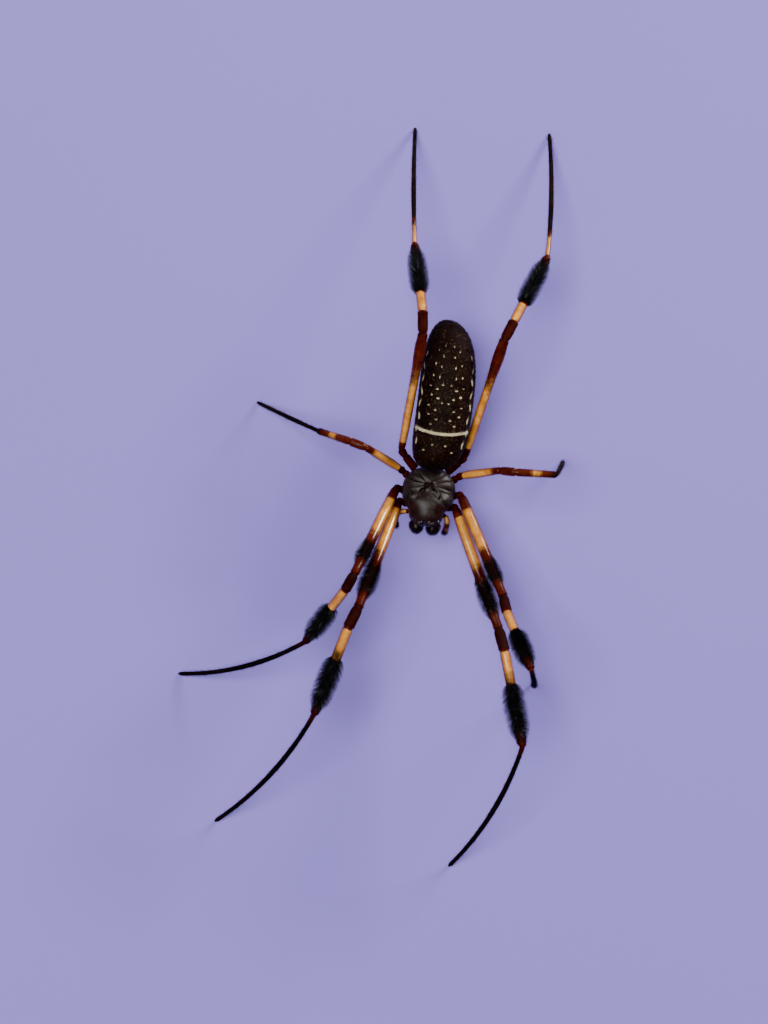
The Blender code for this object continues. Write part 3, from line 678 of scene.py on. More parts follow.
def abdomen_marks(points):
    """How pale and how dark the abdomen is at these points, each from 0 to 1."""
    share, angle, across = abdomen_place(points)
    along = share * ABDOMEN_LENGTH
    out = np.abs(across)
    up = np.sin(angle)
    # The band over the shoulders bends back at its ends, and runs on as a broken flank line.
    band = (BAND_SHARE + 0.035 * (out / ABDOMEN_HALF_WIDTH) ** 2) * ABDOMEN_LENGTH
    flank_angle = np.radians(24) + 0.06 * np.sin(along * 2.1)
    flank = bell((np.arcsin(up) - flank_angle) * ABDOMEN_HALF_HEIGHT, 0.0, 0.17)
    broken = 0.5 + 0.5 * np.sin(along * 3.7 + 1.0)
    pale = [
        (up > 0.2) * bell(along, band, 0.20, 4),
        flank * broken * (share > 0.15) * np.clip((0.9 - share) / 0.2, 0.0, 1.0),
    ]
    for at, aside, half_length, half_width in BACK_FLECKS:
        crosswise = at < CROSSWISE_UP_TO
        reach_along, reach_out = (half_width, half_length) if crosswise else (half_length, half_width)
        gap = np.hypot((along - at * ABDOMEN_LENGTH) / reach_along, (out - aside) / reach_out)
        pale.append(FLECK_PALENESS * (up > 0.0) * np.clip((1.25 - gap) / 0.5, 0.0, 1.0))
    # Below: a cream line across behind the lungs, its ends turned back, and small scattered flecks.
    below = (up < -0.1).astype(float)
    belly_band = (BELLY_BAND_SHARE - 0.03 * (out / 2.6) ** 2) * ABDOMEN_LENGTH
    pale.append(below * (out < 2.7) * bell(along, belly_band, 0.17, 4))
    pale.append(below * bell(out, 2.6, 0.15) * (share > 0.26) * (share < 0.46))
    for at, aside in BELLY_FLECKS:
        gap = np.hypot((along - at * ABDOMEN_LENGTH) / 0.26, (across - aside) / 0.13)
        pale.append(below * np.clip((1.2 - gap) / 0.5, 0.0, 1.0))
    # Dark: the belly, the tail, and a leaf-shaped field down the middle of the back.
    leaf = 0.55 * bell(out, 0.0, 1.9 - 0.9 * share, 4) * (up > 0.0) * (share > 0.2)
    dark = [leaf, 0.2 - up, (share - 0.86) / 0.12]
    return tuple(np.clip(np.maximum.reduce(marks), 0.0, 1.0) for marks in (pale, dark))


# Fine folds round the skin, and small pits in pairs where muscles pull from inside.
BACK_PITS = ((0.22, 0.55), (0.33, 0.62), (0.44, 0.6))  # share of the length, distance out
PIT_DEPTH = 0.12
PIT_RADIUS = 0.14
FOLD_DEPTH = 0.012
TAIL_FOLD_DEPTH = 0.05  # what the folds gain towards the tail
abdomen_now = points_of(abdomen)
share, angle, across = abdomen_place(abdomen_now)
fold_depth = FOLD_DEPTH + TAIL_FOLD_DEPTH * np.clip((share - 0.82) / 0.15, 0.0, 1.0)
waves = abdomen_now[:, 1] * 9.0 + 1.4 * np.sin(angle * 3.0) + 0.8 * np.sin(across * 2.3)
folds = fold_depth * np.sin(waves)
pits = np.zeros(len(abdomen_now))
for at, aside in BACK_PITS:
    gap = np.hypot(abdomen_now[:, 1] - ABDOMEN_FRONT - at * ABDOMEN_LENGTH, np.abs(across) - aside)
    pits += PIT_DEPTH * bell(gap, 0.0, PIT_RADIUS) * (np.sin(angle) > 0.0)
inwards = np.minimum(folds, 0.0) - pits - 0.01
put_points(abdomen, abdomen_now + normals_of(abdomen) * inwards[:, None])
pale, dark = abdomen_marks(points_of(abdomen))
measure(abdomen, "pale", pale)
measure(abdomen, "dark", dark)

UMBER = ((0.006, 0.0024, 0.0017), (0.017, 0.0064, 0.0042))
DARK_BROWN = ((0.005, 0.003, 0.0025), (0.013, 0.006, 0.004))
CREAM = ((0.42, 0.33, 0.16), (0.68, 0.60, 0.38))
SPECKLE_GOLD = ((0.30, 0.20, 0.08), (0.52, 0.40, 0.20))
SPECKLES_PER_METRE = 2600.0
abdomen_finish = Finish("abdomen_skin", UMBER, 0.60, 0.6, pores=6000.0)
abdomen_finish.painted("dark", *DARK_BROWN, fray=0.35)
speckle_inputs = {"Vector": abdomen_finish.place, "Scale": SPECKLES_PER_METRE}
cells = add_node(abdomen_finish.tree, "TexVoronoi", speckle_inputs)
speckle_limits = {"From Min": 0.30, "From Max": 0.16, "To Max": 0.11}
speckles = abdomen_finish.ranged(cells.outputs["Distance"], speckle_limits)
abdomen_finish.painted(speckles, *SPECKLE_GOLD)
abdomen_finish.painted("pale", *CREAM, fray=0.18)
abdomen_finish = abdomen_finish.done(
    Specular_IOR_Level=0.07, Subsurface_Weight=0.08, Subsurface_Scale=0.0006
)
settle(abdomen, abdomen_finish, "abdomen", "abdomen", "spinnerets", "pedicel")

# ---------------------------------------------------------------------------------------------
# The legs: eight, each one jointed skin from the coxa under the chest to the tarsus on the floor,
# translucent amber between red-brown joints, and black from the long foot on.
SEGMENTS = {
    "I": {"femur": 17.6, "patella": 3.1, "tibia": 13.3, "foot": 23.5},
    "II": {"femur": 15.5, "patella": 2.6, "tibia": 10.7, "foot": 20.1},
    "III": {"femur": 7.3, "patella": 2.3, "tibia": 5.7, "foot": 12.1},
    "IV": {"femur": 17.7, "patella": 3.0, "tibia": 10.7, "foot": 18.8},
}
SEGMENT_RADII = {
    "femur": {"I": 0.80, "II": 0.78, "III": 0.59, "IV": 0.58},
    "patella": {"I": 0.76, "II": 0.70, "III": 0.57, "IV": 0.70},
    "tibia": {"I": 0.70, "II": 0.66, "III": 0.53, "IV": 0.66},
}
HIP_NARROWING = 0.14  # how much a femur slims to its hip
HIND_FEMUR_SWELL = 0.5  # how much the hind femur thickens towards its knee
THICKNESS = {"I": 1.0, "II": 0.97, "III": 0.86, "IV": 0.94}  # of the coxa and the foot
COXA_RADII = (0.60, 0.62, 0.58, 0.5, 0.57, 0.56)  # at COXA_KNOTS, shares of its length
COXA_KNOTS = (0.0, 0.3, 0.58, 0.68, 0.8, 1.0)
FOOT_RADII = (0.33, 0.31, 0.36, 0.29, 0.26)  # at FOOT_KNOTS, shares of its length
FOOT_KNOTS = (0.0, 0.12, 0.4, 0.83, 1.0)
COXA_ROOTS = {
    "I": (2.05, -5.75, 5.5), "II": (2.25, -4.3, 5.5), "III": (2.3, -2.75, 5.5), "IV": (2.2, -1.1, 5.6),
}
HIPS = {
    "I": (3.85, -5.8, 5.9), "II": (4.4, -4.05, 6.3), "III": (4.1, -1.4, 6.2), "IV": (4.3, 1.1, 6.3),
}
# How each leg is held, in degrees: the swing forwards from straight out, then the pitch up. The
# foot has its mean swing, the change of swing to its tip, and how much it curls down.
STANCE = {
    "right": {
        "I": {"femur": (75.5, 31), "patella": (70, 14), "tibia": (75, -18), "foot": (54, -27, 9)},
        "II": {"femur": (70.5, 35), "patella": (67, -16), "tibia": (59, -33), "foot": (21, -31, 4)},
        "III": {"femur": (-25, 43), "patella": (-15, -3), "tibia": (-12, -36), "foot": (-19, -2, 9)},
        "IV": {"femur": (-94, 27), "patella": (-83, 6), "tibia": (-77, -30), "foot": (-84, -5, 22)},
    },
    "left": {
        "I": {"femur": (64, 13), "patella": (68, 9), "tibia": (73, 11), "foot": (114, 27, 15)},
        "II": {"femur": (61, 19.5), "patella": (71, 34), "tibia": (61, 40), "foot": (67, 0, 23)},
        "III": {"femur": (-14, 45), "patella": (0, 29), "tibia": (-3, -6), "foot": (-63, 0, 10)},
        "IV": {"femur": (-78, 21), "patella": (-69, -20), "tibia": (-69, -21), "foot": (-95, -11, 4)},
    },
}
TARSUS_SHARE = 0.17
LINE_STEP = 0.14
COXA_STEPS = 22
JOINT_SOFTENING = 7  # how often the line and its radii are smoothed
BOX_TOP = cad_box[1][2] / MM
# Where the joints are, by zone: the segment's number and the share of it. The segments count from
# the coxa, 0, to the foot, 4.
JOINTS = (0.66, 1.0, 2.0, 3.0, 4.0, 5.0 - TARSUS_SHARE)
# The hair brushes: where each starts and ends along its segment, and the radius to its tips.
BRUSHES = {
    ("femur", "I"): (0.57, 0.91, 1.4),
    ("femur", "II"): (0.62, 0.89, 1.15),
    ("tibia", "I"): (0.355, 0.955, 1.6),
    ("tibia", "II"): (0.335, 0.92, 1.45),
    ("tibia", "IV"): (0.27, 0.94, 1.35),
}


def heading(side, swing, pitch):
    """The unit vector that points out to the side, swung forwards and pitched up (radians)."""
    return np.array((
        side * math.cos(swing) * math.cos(pitch), -math.sin(swing) * math.cos(pitch), math.sin(pitch),
    ))


def segment_radius(kind, leg, share):
    """The bare radius of a leg's segment at these shares of its length."""
    if kind == "coxa":
        return THICKNESS[leg] * np.interp(share, COXA_KNOTS, COXA_RADII)
    if kind == "femur":
        swell = (leg == "IV") * HIND_FEMUR_SWELL * bell(share, 0.88, 0.16)
        slim = HIP_NARROWING * bell(share, 0.0, 0.14) + 0.16 * (2.0 * share - 0.75) ** 2
        return SEGMENT_RADII[kind][leg] * (1.0 + swell - slim)
    if kind == "patella":
        return SEGMENT_RADII[kind][leg] * (0.94 + 0.08 * np.sin(math.pi * share))
    if kind == "tibia":
        return SEGMENT_RADII[kind][leg] * (1.04 - 0.22 * share)
    return THICKNESS[leg] * np.interp(share, FOOT_KNOTS, FOOT_RADII)


def interpolated(wanted, known, rows):
    """Rows between those at the known places, at the wanted ones."""
    return np.column_stack([np.interp(wanted, known, column) for column in rows.T])


def unit(vectors):
    return vectors / np.linalg.norm(vectors, axis=1)[:, None]


def foot_line(start, side, length, swing, swing_change, curl):
    """The places along metatarsus and tarsus, which end on the floor."""
    half_curl = curl / 2.0
    pitch = math.asin(min(1.0, start[2] / (length * math.sin(half_curl) / half_curl)))
    steps = round(length / LINE_STEP)
    lag = (np.arange(steps) + 0.5) / steps - 0.5
    ways = [heading(side, swing + swing_change * at, -(pitch + curl * at)) for at in lag]
    places = np.vstack((start, start + np.cumsum(ways, axis=0) * (length / steps)))
    places[-1, 2] = 0.0
    return places


class Leg:
    """One leg's middle line: its places, radii, and at each place the segment and the share of it."""

    KINDS = ("coxa", "femur", "patella", "tibia", "foot")

    def __init__(self, side_name, side, leg):
        self.name = leg + "_" + side_name
        self.leg = leg
        root, hip = on_side(COXA_ROOTS[leg], side), on_side(HIPS[leg], side)
        places, zones, radii = [], [], []
        start = root
        for index, kind in enumerate(self.KINDS):
            length = SEGMENTS[leg].get(kind)
            turns = [math.radians(turn) for turn in STANCE[side_name][leg].get(kind, ())]
            if kind == "coxa":
                line = np.linspace(root, hip, COXA_STEPS)
            elif kind == "foot":
                line = foot_line(start, side, length, *turns)
            else:
                end = start + heading(side, *turns) * length
                line = np.linspace(start, end, round(length / LINE_STEP) + 1)
            share = np.linspace(0.0, 1.0, len(line))
            keep = slice(1 if index else 0, None)
            places.append(line[keep])
            zones.append((index + share)[keep])
            radii.append(segment_radius(kind, leg, share)[keep])
            start = line[-1]
        self.places = np.vstack(places)
        self.zones = np.concatenate(zones)
        self.radii = np.concatenate(radii)
        for _ in range(JOINT_SOFTENING):
            self.places[:, 2] = np.minimum(self.places[:, 2], BOX_TOP - 1.08 * self.radii)
            for values in (self.places, self.radii):
                values[1:-1] = (values[:-2] + 2 * values[1:-1] + values[2:]) / 4
        steps = np.linalg.norm(np.diff(self.places, axis=0), axis=1)
        self.distance = np.concatenate(([0.0], np.cumsum(steps)))
        self.refine_joints()
        self.shape_joints()
        self.ways = unit(np.gradient(self.places, axis=0))
        self.above = unit(np.array((0.0, 0.0, 1.0)) - self.ways * self.ways[:, 2:3])
        self.beside = np.cross(self.ways, self.above)

    def joint_distances(self):
        return [np.interp(joint, self.zones, self.distance) for joint in JOINTS]

    def refine_joints(self):
        """Adds places close together beside each joint."""
        close = np.arange(-0.5, 0.8, 0.045)
        wanted = np.concatenate([self.distance] + [at + close for at in self.joint_distances()])
        wanted = np.unique(np.clip(wanted, 0.0, self.distance[-1]).round(3))
        wanted = wanted[np.concatenate(([True], np.diff(wanted) > 0.03))]
        wanted[-1] = self.distance[-1]
        self.places = interpolated(wanted, self.distance, self.places)
        self.zones = np.interp(wanted, self.distance, self.zones)
        self.radii = np.interp(wanted, self.distance, self.radii)
        self.distance = wanted

    def shape_joints(self):
        """Gives each segment's end a lip over the narrow neck of the next segment."""
        for joint, at in zip(JOINTS, self.joint_distances()):
            past = self.distance - at
            slight = 0.4 if joint > 4.5 else 1.0
            lip = 0.07 * bell(past, -0.24, 0.24) * (past < 0.0)
            neck = 0.17 * bell(np.maximum(past - 0.06, 0.0), 0.0, 0.3)
            self.radii *= 1.0 + slight * (lip - neck * np.clip(past / 0.06 + 0.5, 0.0, 1.0))
        self.radii *= 1.0 - 0.35 * bell(self.distance, self.distance[-1], 0.25)

    def skin_at(self, zone, turn, depth):
        """Directions along and out of the leg at these zones and turns, and places on its skin.

        The places are at this share of the bare radius. The last are their places on the unwrap.
        """
        known = (self.places, self.ways, self.above, self.beside)
        places, ways, above, beside = (interpolated(zone, self.zones, rows) for rows in known)
        outwards = above * np.cos(turn)[:, None] + beside * np.sin(turn)[:, None]
        bare = np.interp(zone, self.zones, self.radii)
        unwrap = np.column_stack((0.02 + 0.96 * zone / len(self.KINDS), 0.02 + 0.96 * turn / math.tau))
        return ways, outwards, places + outwards * (depth * bare)[:, None], unwrap


# Where each leg is amber (1), rust (0.5) or dark red brown (0), and where it is black, by zone.
AMBER_ZONES = {
    "I": ((1.04, 0), (1.10, 1), (1.40, 1), (1.58, 0.5), (1.86, 0.3), (1.92, 0.5), (1.98, 0.45),
          (2.01, 0), (2.95, 0.1), (3.0, 0.3), (3.03, 0.95), (3.15, 1), (3.24, 0.85), (3.36, 0.75),
          (3.40, 0)),
    "II": ((1.08, 0.1), (1.18, 1), (1.44, 1), (1.62, 0.5), (1.84, 0.3), (1.90, 0.5), (1.98, 0.45),
           (2.01, 0), (2.95, 0.1), (3.0, 0.3), (3.03, 1), (3.32, 1), (3.36, 0)),
    "III": ((1.04, 0.1), (1.12, 1), (1.75, 0.95), (1.94, 0.55), (2.9, 0.5), (3.05, 0.35), (3.3, 0.45),
            (3.45, 0.8), (3.6, 0.8), (3.75, 0.4), (3.9, 0.2)),
    "IV": ((1.04, 0), (1.10, 1), (1.40, 0.95), (1.80, 0.52), (1.97, 0.42), (2.0, 0.1), (2.98, 0.2),
           (3.02, 1), (3.26, 1), (3.30, 0), (3.95, 0.2), (4.0, 0.3), (4.02, 0.85), (4.14, 0.8),
           (4.20, 0.3)),
}
BLACK_ROOT = ((0.0, 0.3), (0.9, 0.3), (1.0, 0.3), (1.06, 0))
BLACK_KNEE = ((1.99, 0.1), (2.02, 0.52), (2.95, 0.46), (3.0, 0))
BLACK_ZONES = {
    "I": (*BLACK_ROOT, (1.58, 0), (1.64, 0.66), (1.86, 0.66), (1.91, 0), *BLACK_KNEE, (3.16, 0),
          (3.25, 0.48), (3.35, 0.56), (3.38, 0.9), (3.80, 0.8), (3.92, 0.1), (4.02, 0.1), (4.10, 1)),
    "II": (*BLACK_ROOT, (1.62, 0), (1.68, 0.66), (1.84, 0.66), (1.89, 0), *BLACK_KNEE, (3.32, 0),
           (3.36, 0.9), (3.76, 0.8), (3.88, 0.1), (4.02, 0.1), (4.10, 1)),
    "III": (*BLACK_ROOT, (3.7, 0), (3.9, 0.5), (4.05, 1)),
    "IV": ((0.0, 0.3), (0.9, 0.3), (1.0, 0.35), (1.06, 0), (1.9, 0), (2.02, 0.35), (2.96, 0.4),
           (3.0, 0), (3.26, 0), (3.30, 0.9), (3.80, 0.8), (3.92, 0.2), (4.0, 0), (4.17, 0), (4.24, 1)),
}
LEG_BROWN = ((0.020, 0.0035, 0.0025), (0.060, 0.010, 0.005))
RUST = ((0.044, 0.0065, 0.0035), (0.098, 0.014, 0.005))
# The amber's two tones: the darker one is painted shade for the flanks, the paler one painted light for
# the top and underside.
AMBER_PAINTED_SHADE = ((0.16, 0.028, 0.005), (0.32, 0.070, 0.010))
AMBER_PAINTED_LIGHT = ((0.56, 0.20, 0.022), (0.88, 0.41, 0.065))
LEG_BLACK = ((0.005, 0.0035, 0.004), (0.014, 0.008, 0.008))
leg_finish = Finish("leg_skin", LEG_BROWN, 0.45, 0.6).painted("rust", *RUST, fray=0.10)
# Amber is painted paler where the skin faces up or down, as painted light, and darker on the flanks, as
# painted shade.
painted_shade_tone = leg_finish.mixed(leg_finish.mottle, *AMBER_PAINTED_SHADE)
painted_light_tone = leg_finish.mixed(leg_finish.mottle, *AMBER_PAINTED_LIGHT)
amber_painted_light_and_shade = leg_finish.mixed(leg_finish.kept("painted_light"), painted_shade_tone, painted_light_tone)
amber_shows = leg_finish.frayed(leg_finish.kept("amber"), 0.10)
leg_finish.colour = leg_finish.mixed(amber_shows, leg_finish.colour, amber_painted_light_and_shade)
leg_finish.painted("black", *LEG_BLACK, fray=0.15)
glazed = leg_finish.ranged(leg_finish.kept("amber"), {"To Min": 0.12, "To Max": 1.0})
leg_finish = leg_finish.done(
    Roughness=leg_finish.ranged(leg_finish.kept("black"), {"To Min": 0.45, "To Max": 0.85}),
    Coat_Weight=leg_finish.less(glazed, leg_finish.kept("black")),
    Coat_Roughness=0.15, Specular_IOR_Level=0.04, Subsurface_Weight=0.12, Subsurface_Scale=0.0004,
)


def measure_tones(piece, amber, black, painted_light):
    """Keeps how amber, rust and black each vertex is, and how much painted light its amber takes. An amber
    of 0.5 is full rust.
    """
    measure(piece, "rust", np.clip(2.0 * amber, 0.0, 1.0))
    measure(piece, "amber", np.clip(2.0 * amber - 1.0, 0.0, 1.0))
    measure(piece, "black", black)
    measure(piece, "painted_light", np.clip((painted_light - 0.55) / 0.38, 0.0, 1.0))


def nearest(points, places):
    """The number of the place nearest to each point."""
    return np.argmin(np.linalg.norm(points[:, None] - places[None], axis=2), axis=1)


def keep_in_box(piece, margin):
    """Draws in the few points that reach past the solids' own box or under the floor."""
    low, high = (np.array(corner) for corner in cad_box)
    put_points(piece, np.clip(points_of(piece), low + margin, high - margin))


legs = [Leg(side_name, side, leg) for side_name, side in SIDES for leg in SEGMENTS]
for leg in legs:
    skin = tube_through("skin_leg_" + leg.name, leg.places, leg.radii, 5)
    bpy.ops.object.mode_set(mode="EDIT")
    bpy.ops.mesh.select_all(action="SELECT")
    bpy.ops.mesh.bisect(plane_co=(0, 0, 0), plane_no=(0, 0, 1), use_fill=True, clear_inner=True)
    bpy.ops.object.mode_set(mode="OBJECT")
    close = nearest(points_of(skin), leg.places[::2])
    # How much the skin faces up or down, which sets the painted light on the amber and the painted shade
    # on its flanks.
    painted_light = np.abs(np.sum(normals_of(skin) * leg.above[::2][close], axis=1))
    zone = leg.zones[::2][close]
    amber, black = (np.interp(zone, *zip(*zones[leg.leg])) for zones in (AMBER_ZONES, BLACK_ZONES))
    measure_tones(skin, amber, black, painted_light)
    nodes = (kind + "_" + leg.name for kind in ("coxa", "femur", "patella", "tibia", "metatarsus"))
    settle(skin, leg_finish, "amber_cuticle", *nodes)
    keep_in_box(skin, 0.0)

# ---------------------------------------------------------------------------------------------
# The palps: two short feelers beside the chelicerae, amber with a red-brown knee and a dark,
# bristly last joint. The right one is held out, the left one lies along its chelicera.
PALP_PATHS = {
    "left": ((2.1, -6.95, 5.0), (2.7, -7.2, 5.3), (2.95, -7.75, 5.35), (2.95, -8.3, 5.0),
             (2.9, -8.75, 4.5), (2.8, -9.15, 3.95), (2.7, -9.4, 3.5)),
    "right": ((2.1, -6.95, 5.0), (2.85, -7.0, 5.35), (3.55, -7.2, 5.5), (3.95, -7.75, 5.25),
              (4.0, -8.3, 4.75), (3.9, -8.85, 4.2), (3.75, -9.25, 3.75)),
}
PALP_GIRTHS = (0.8, 1.0, 0.9, 1.0, 1.0, 1.08, 0.35)
PALP_RADIUS = 0.36
PALP_JOINTS = (0.13, 0.42, 0.54, 0.74)
# How amber and how black they are, by share of the length.
PALP_AMBER = (
    (0.12, 0.2), (0.18, 0.85), (0.38, 0.85), (0.43, 0.4), (0.54, 0.4), (0.58, 0.8), (0.68, 0.7), (0.72, 0),
)
PALP_BLACK = ((0.0, 0.4), (0.12, 0), (0.70, 0), (0.76, 1))
palps = {}
for side_name, side in SIDES:
    palp_line, palp_share = smooth_line(on_side(PALP_PATHS[side_name], side), 12)
    knots = np.linspace(0.0, 1.0, len(PALP_GIRTHS))
    palp_radii = PALP_RADIUS * np.interp(palp_share, knots, PALP_GIRTHS)
    for joint in PALP_JOINTS:
        palp_radii *= 1.0 - 0.22 * bell(palp_share, joint, 0.022)
    palp = tube_through("skin_palp_" + side_name, palp_line, palp_radii, 5)
    share = palp_share[nearest(points_of(palp), palp_line)]
    amber, black = (np.interp(share, *zip(*zones)) for zones in (PALP_AMBER, PALP_BLACK))
    # The palps' amber takes the same painted light where it faces up or down, and painted shade on its
    # flanks.
    measure_tones(palp, amber, black, np.abs(normals_of(palp)[:, 2]))
    settle(palp, leg_finish, "amber_cuticle", "palp_" + side_name)
    palps[side_name] = (palp_line, palp_share, palp_radii)

# ---------------------------------------------------------------------------------------------
# The brushes: dense black hair round the ends of the fore femora and round the tibiae of the
# first, second and last legs, each hair standing steeply and bending over towards the foot.
HAIR_SEED = 7
shake = np.random.default_rng(HAIR_SEED)
BRUSH_HAIRS_PER_MM = {"femur": 430, "tibia": 540}
BRUSH_HAIR_WIDTH = 0.034
SHORT_HAIRS = 0.30  # the share of a brush's hairs that end short of its outline
HAIRS_PAST_LOCKS = 0.22  # how far the finest ends reach past the solid locks
BRUSH_LEAN = 66.0  # degrees out from the leg at the root
BRUSH_BEND = 24.0  # degrees that a hair lies over to its tip
# Some streaks of each brush hold pale hairs as painted glints, where clumps of hair would catch the light.
PAINTED_GLINT_STREAKS = 0.08  # the share of the streaks that hold pale hairs
ROOT_LENGTH = 0.12  # how much of each hair is inside the skin
HAIR_MARGIN = 0.00002  # metres that hair keeps off the floor and the sides of the box
STREAKS_PER_SEGMENT = 90
STREAKS_ROUND = 18
STREAK_DRAWS = 997


def grow_hair(name, finish, slot, roots, ways, lengths, widths, unwrap, rings, tints):
    """Solid tapering hairs, each with a base, some rings of three corners and a tip, as one piece.

    Each hair leaves its root along the first of the two ways and bends evenly to the last. unwrap
    gives each root's place on the skin's unwrap, where the hair has a patch of its own.
    """
    first_way, last_way = ways
    count = len(roots)
    shares = np.linspace(0.0, 1.0, rings + 1)
    aside = unit(np.cross(first_way, shake.normal(size=(count, 3))))
    corners, patches = [], []
    for ring, at in enumerate(shares):
        centre = roots + lengths[:, None] * (first_way * at + (last_way - first_way) * at**2 / 2.0)
        way = unit(first_way + (last_way - first_way) * at)
        flat = unit(aside - way * np.sum(aside * way, axis=1)[:, None])
        other = np.cross(way, flat)
        radius = widths / 2.0 * (1.0 - 0.8 * at)
        if ring == rings:
            corners.append(centre[:, None])
            patches.append(unwrap[:, None])
            continue
        for turn in range(3):
            angle = turn * math.tau / 3.0
            spoke = flat * math.cos(angle) + other * math.sin(angle)
            corners.append((centre + spoke * radius[:, None])[:, None])
            spread = 0.0015 * (1.0 - at)
            patches.append((unwrap + (spread * math.cos(angle), spread * math.sin(angle)))[:, None])
    points = np.concatenate(corners, axis=1)
    each = points.shape[1]
    faces = [(0, 2, 1)]
    for ring in range(rings - 1):
        for turn in range(3):
            low, low_next = 3 * ring + turn, 3 * ring + (turn + 1) % 3
            faces += [(low, low_next, low_next + 3), (low, low_next + 3, low + 3)]
    last = 3 * (rings - 1)
    faces += [(last + turn, last + (turn + 1) % 3, each - 1) for turn in range(3)]
    faces = (np.array(faces)[None] + np.arange(count)[:, None, None] * each).reshape(-1, 3)
    mesh = bpy.data.meshes.new(name)
    mesh.vertices.add(count * each)
    mesh.vertices.foreach_set("co", points.reshape(-1))
    mesh.loops.add(faces.size)
    mesh.loops.foreach_set("vertex_index", faces.ravel().astype(np.int32))
    mesh.polygons.add(len(faces))
    mesh.polygons.foreach_set("loop_start", np.arange(0, faces.size, 3, dtype=np.int32))
    mesh.update(calc_edges=True)
    bake = mesh.uv_layers.new(name="OFBake")
    spots = np.concatenate(patches, axis=1).reshape(-1, 2)
    bake.data.foreach_set("uv", spots[faces.ravel()].ravel())
    hair = bpy.data.objects.new(name, mesh)
    bpy.context.scene.collection.objects.link(hair)
    measure(hair, "tint", np.repeat(tints, each))
    measure(hair, "tip", np.tile(np.append(np.repeat(shares[:-1], 3), 1.0) ** 2, count))
    settle(hair, finish, slot)
    keep_in_box(hair, HAIR_MARGIN)


def leaning(lean, ways, outwards):
    """Directions that lean out by these angles from the ways along the skin."""
    return ways * np.cos(lean)[:, None] + outwards * np.sin(lean)[:, None]


def brush_height(kind, within):
    """How far the hair stands out, from 0 to 1, at these shares of the brush's own length."""
    within = np.clip(within, 0.0, 1.0)
    if kind == "femur":
        return np.sin(math.pi * within) ** 0.6
    return (1.0 - np.exp(-within / 0.05)) * (1.0 - within**5) ** 0.8


BRUSH_BLACK = ((0.003, 0.0025, 0.003), (0.008, 0.007, 0.008))
brush_finish = Finish("brush_hair", BRUSH_BLACK, 0.5, 0.0)
# Greyer towards each tip: painted light, where the thin fringe lets the light through.
brush_finish.painted("tip", (0.020, 0.022, 0.024), (0.050, 0.054, 0.056))
# Pale grey on the hairs of the glinting streaks: painted glints.
brush_finish.painted("tint", (0.10, 0.105, 0.105), (0.24, 0.25, 0.25))
brush_finish = brush_finish.done(Specular_IOR_Level=0.12)
for leg in legs:
    bunches = []
    for (kind, leg_number), (start, end, tip_radius) in BRUSHES.items():
        if leg_number != leg.leg:
            continue
        segment = Leg.KINDS.index(kind)
        length = SEGMENTS[leg.leg][kind]
        count = round((end - start) * length * BRUSH_HAIRS_PER_MM[kind])
        share = start + (end - start) * shake.random(count)
        bare = np.interp(segment + share, leg.zones, leg.radii)
        turn = shake.uniform(0.0, math.tau, count)
        lean = np.radians(shake.normal(BRUSH_LEAN, 7.0, count))
        tip_lean = lean - np.radians(shake.normal(BRUSH_BEND, 6.0, count))
        mean_lean = (lean + tip_lean) / 2.0
        advance = (tip_radius - bare) / np.tan(mean_lean) / length
        tip_share = share + 0.5 * advance
        height = np.maximum(brush_height(kind, (tip_share - start) / (end - start)), 0.22)
        short = np.where(shake.random(count) < SHORT_HAIRS, shake.uniform(0.3, 0.85, count), 1.0)
        reach = (tip_radius + HAIRS_PAST_LOCKS - bare) * height * short * shake.normal(0.97, 0.07, count)
        bunches.append((segment + share, turn, lean, tip_lean, reach / np.sin(mean_lean)))
    if not bunches:
        continue
    zone, turn, lean, tip_lean, lengths = (np.concatenate(column) for column in zip(*bunches))
    ways, outwards, roots, unwrap = leg.skin_at(zone, turn, 0.85)
    strip = (zone * STREAKS_PER_SEGMENT).astype(int) * STREAKS_ROUND
    streak = (strip + (turn / math.tau * STREAKS_ROUND).astype(int)) % STREAK_DRAWS
    painted_glint_streaks = shake.random(STREAK_DRAWS) < PAINTED_GLINT_STREAKS
    painted_glint_hairs = painted_glint_streaks[streak] * (shake.random(len(zone)) < 0.5) * 1.0
    widths = BRUSH_HAIR_WIDTH * shake.uniform(0.7, 1.2, len(zone))
    grow_hair(
        "brush_leg_" + leg.name, brush_finish, "brush_cuticle", roots,
        (leaning(lean, ways, outwards), leaning(tip_lean, ways, outwards)),
        lengths + ROOT_LENGTH, widths, unwrap, 3, painted_glint_hairs,
    )

# ---------------------------------------------------------------------------------------------
# The fine hair of the legs and palps: short bristles that lean towards the foot, a little longer
# on the black feet, where they stand clear of the outline.
LEG_HAIRS_PER_MM = 55
LEG_HAIR_WIDTH = 0.024
LEG_HAIR_LENGTH = 0.42
FOOT_HAIR_LENGTH = 0.46
LEG_HAIR_LEAN = 38.0  # degrees out from the skin at the root
PALP_HAIRS = 900
PALP_HAIR_LENGTH = 0.32
PALP_TIP_HAIR_LENGTH = 0.42
PALP_HAIR_LEAN = 35.0
BRISTLE_BEND = 14.0  # degrees that a bristle lies over to its tip
LEG_HAIR_BLACK = ((0.005, 0.003, 0.003), (0.012, 0.007, 0.006))
leg_hair_finish = Finish("leg_hair", LEG_HAIR_BLACK, 0.45, 0.0)
leg_hair_finish.painted("tint", (0.16, 0.09, 0.045), (0.34, 0.24, 0.14))
leg_hair_finish = leg_hair_finish.done(Specular_IOR_Level=0.08)


def unwrapped(along, angle):
    """Places on a skin's unwrap, by the share of its length and the angle round it."""
    return np.column_stack((0.02 + 0.96 * along, 0.5 + 0.47 * angle / math.pi))


def bristles(lean_degrees, ways, outwards):
    """Directions of leaning bristles at root and tip."""
    lean = np.radians(shake.normal(lean_degrees, 8.0, len(ways)))
    return leaning(lean, ways, outwards), leaning(lean - np.radians(BRISTLE_BEND), ways, outwards)


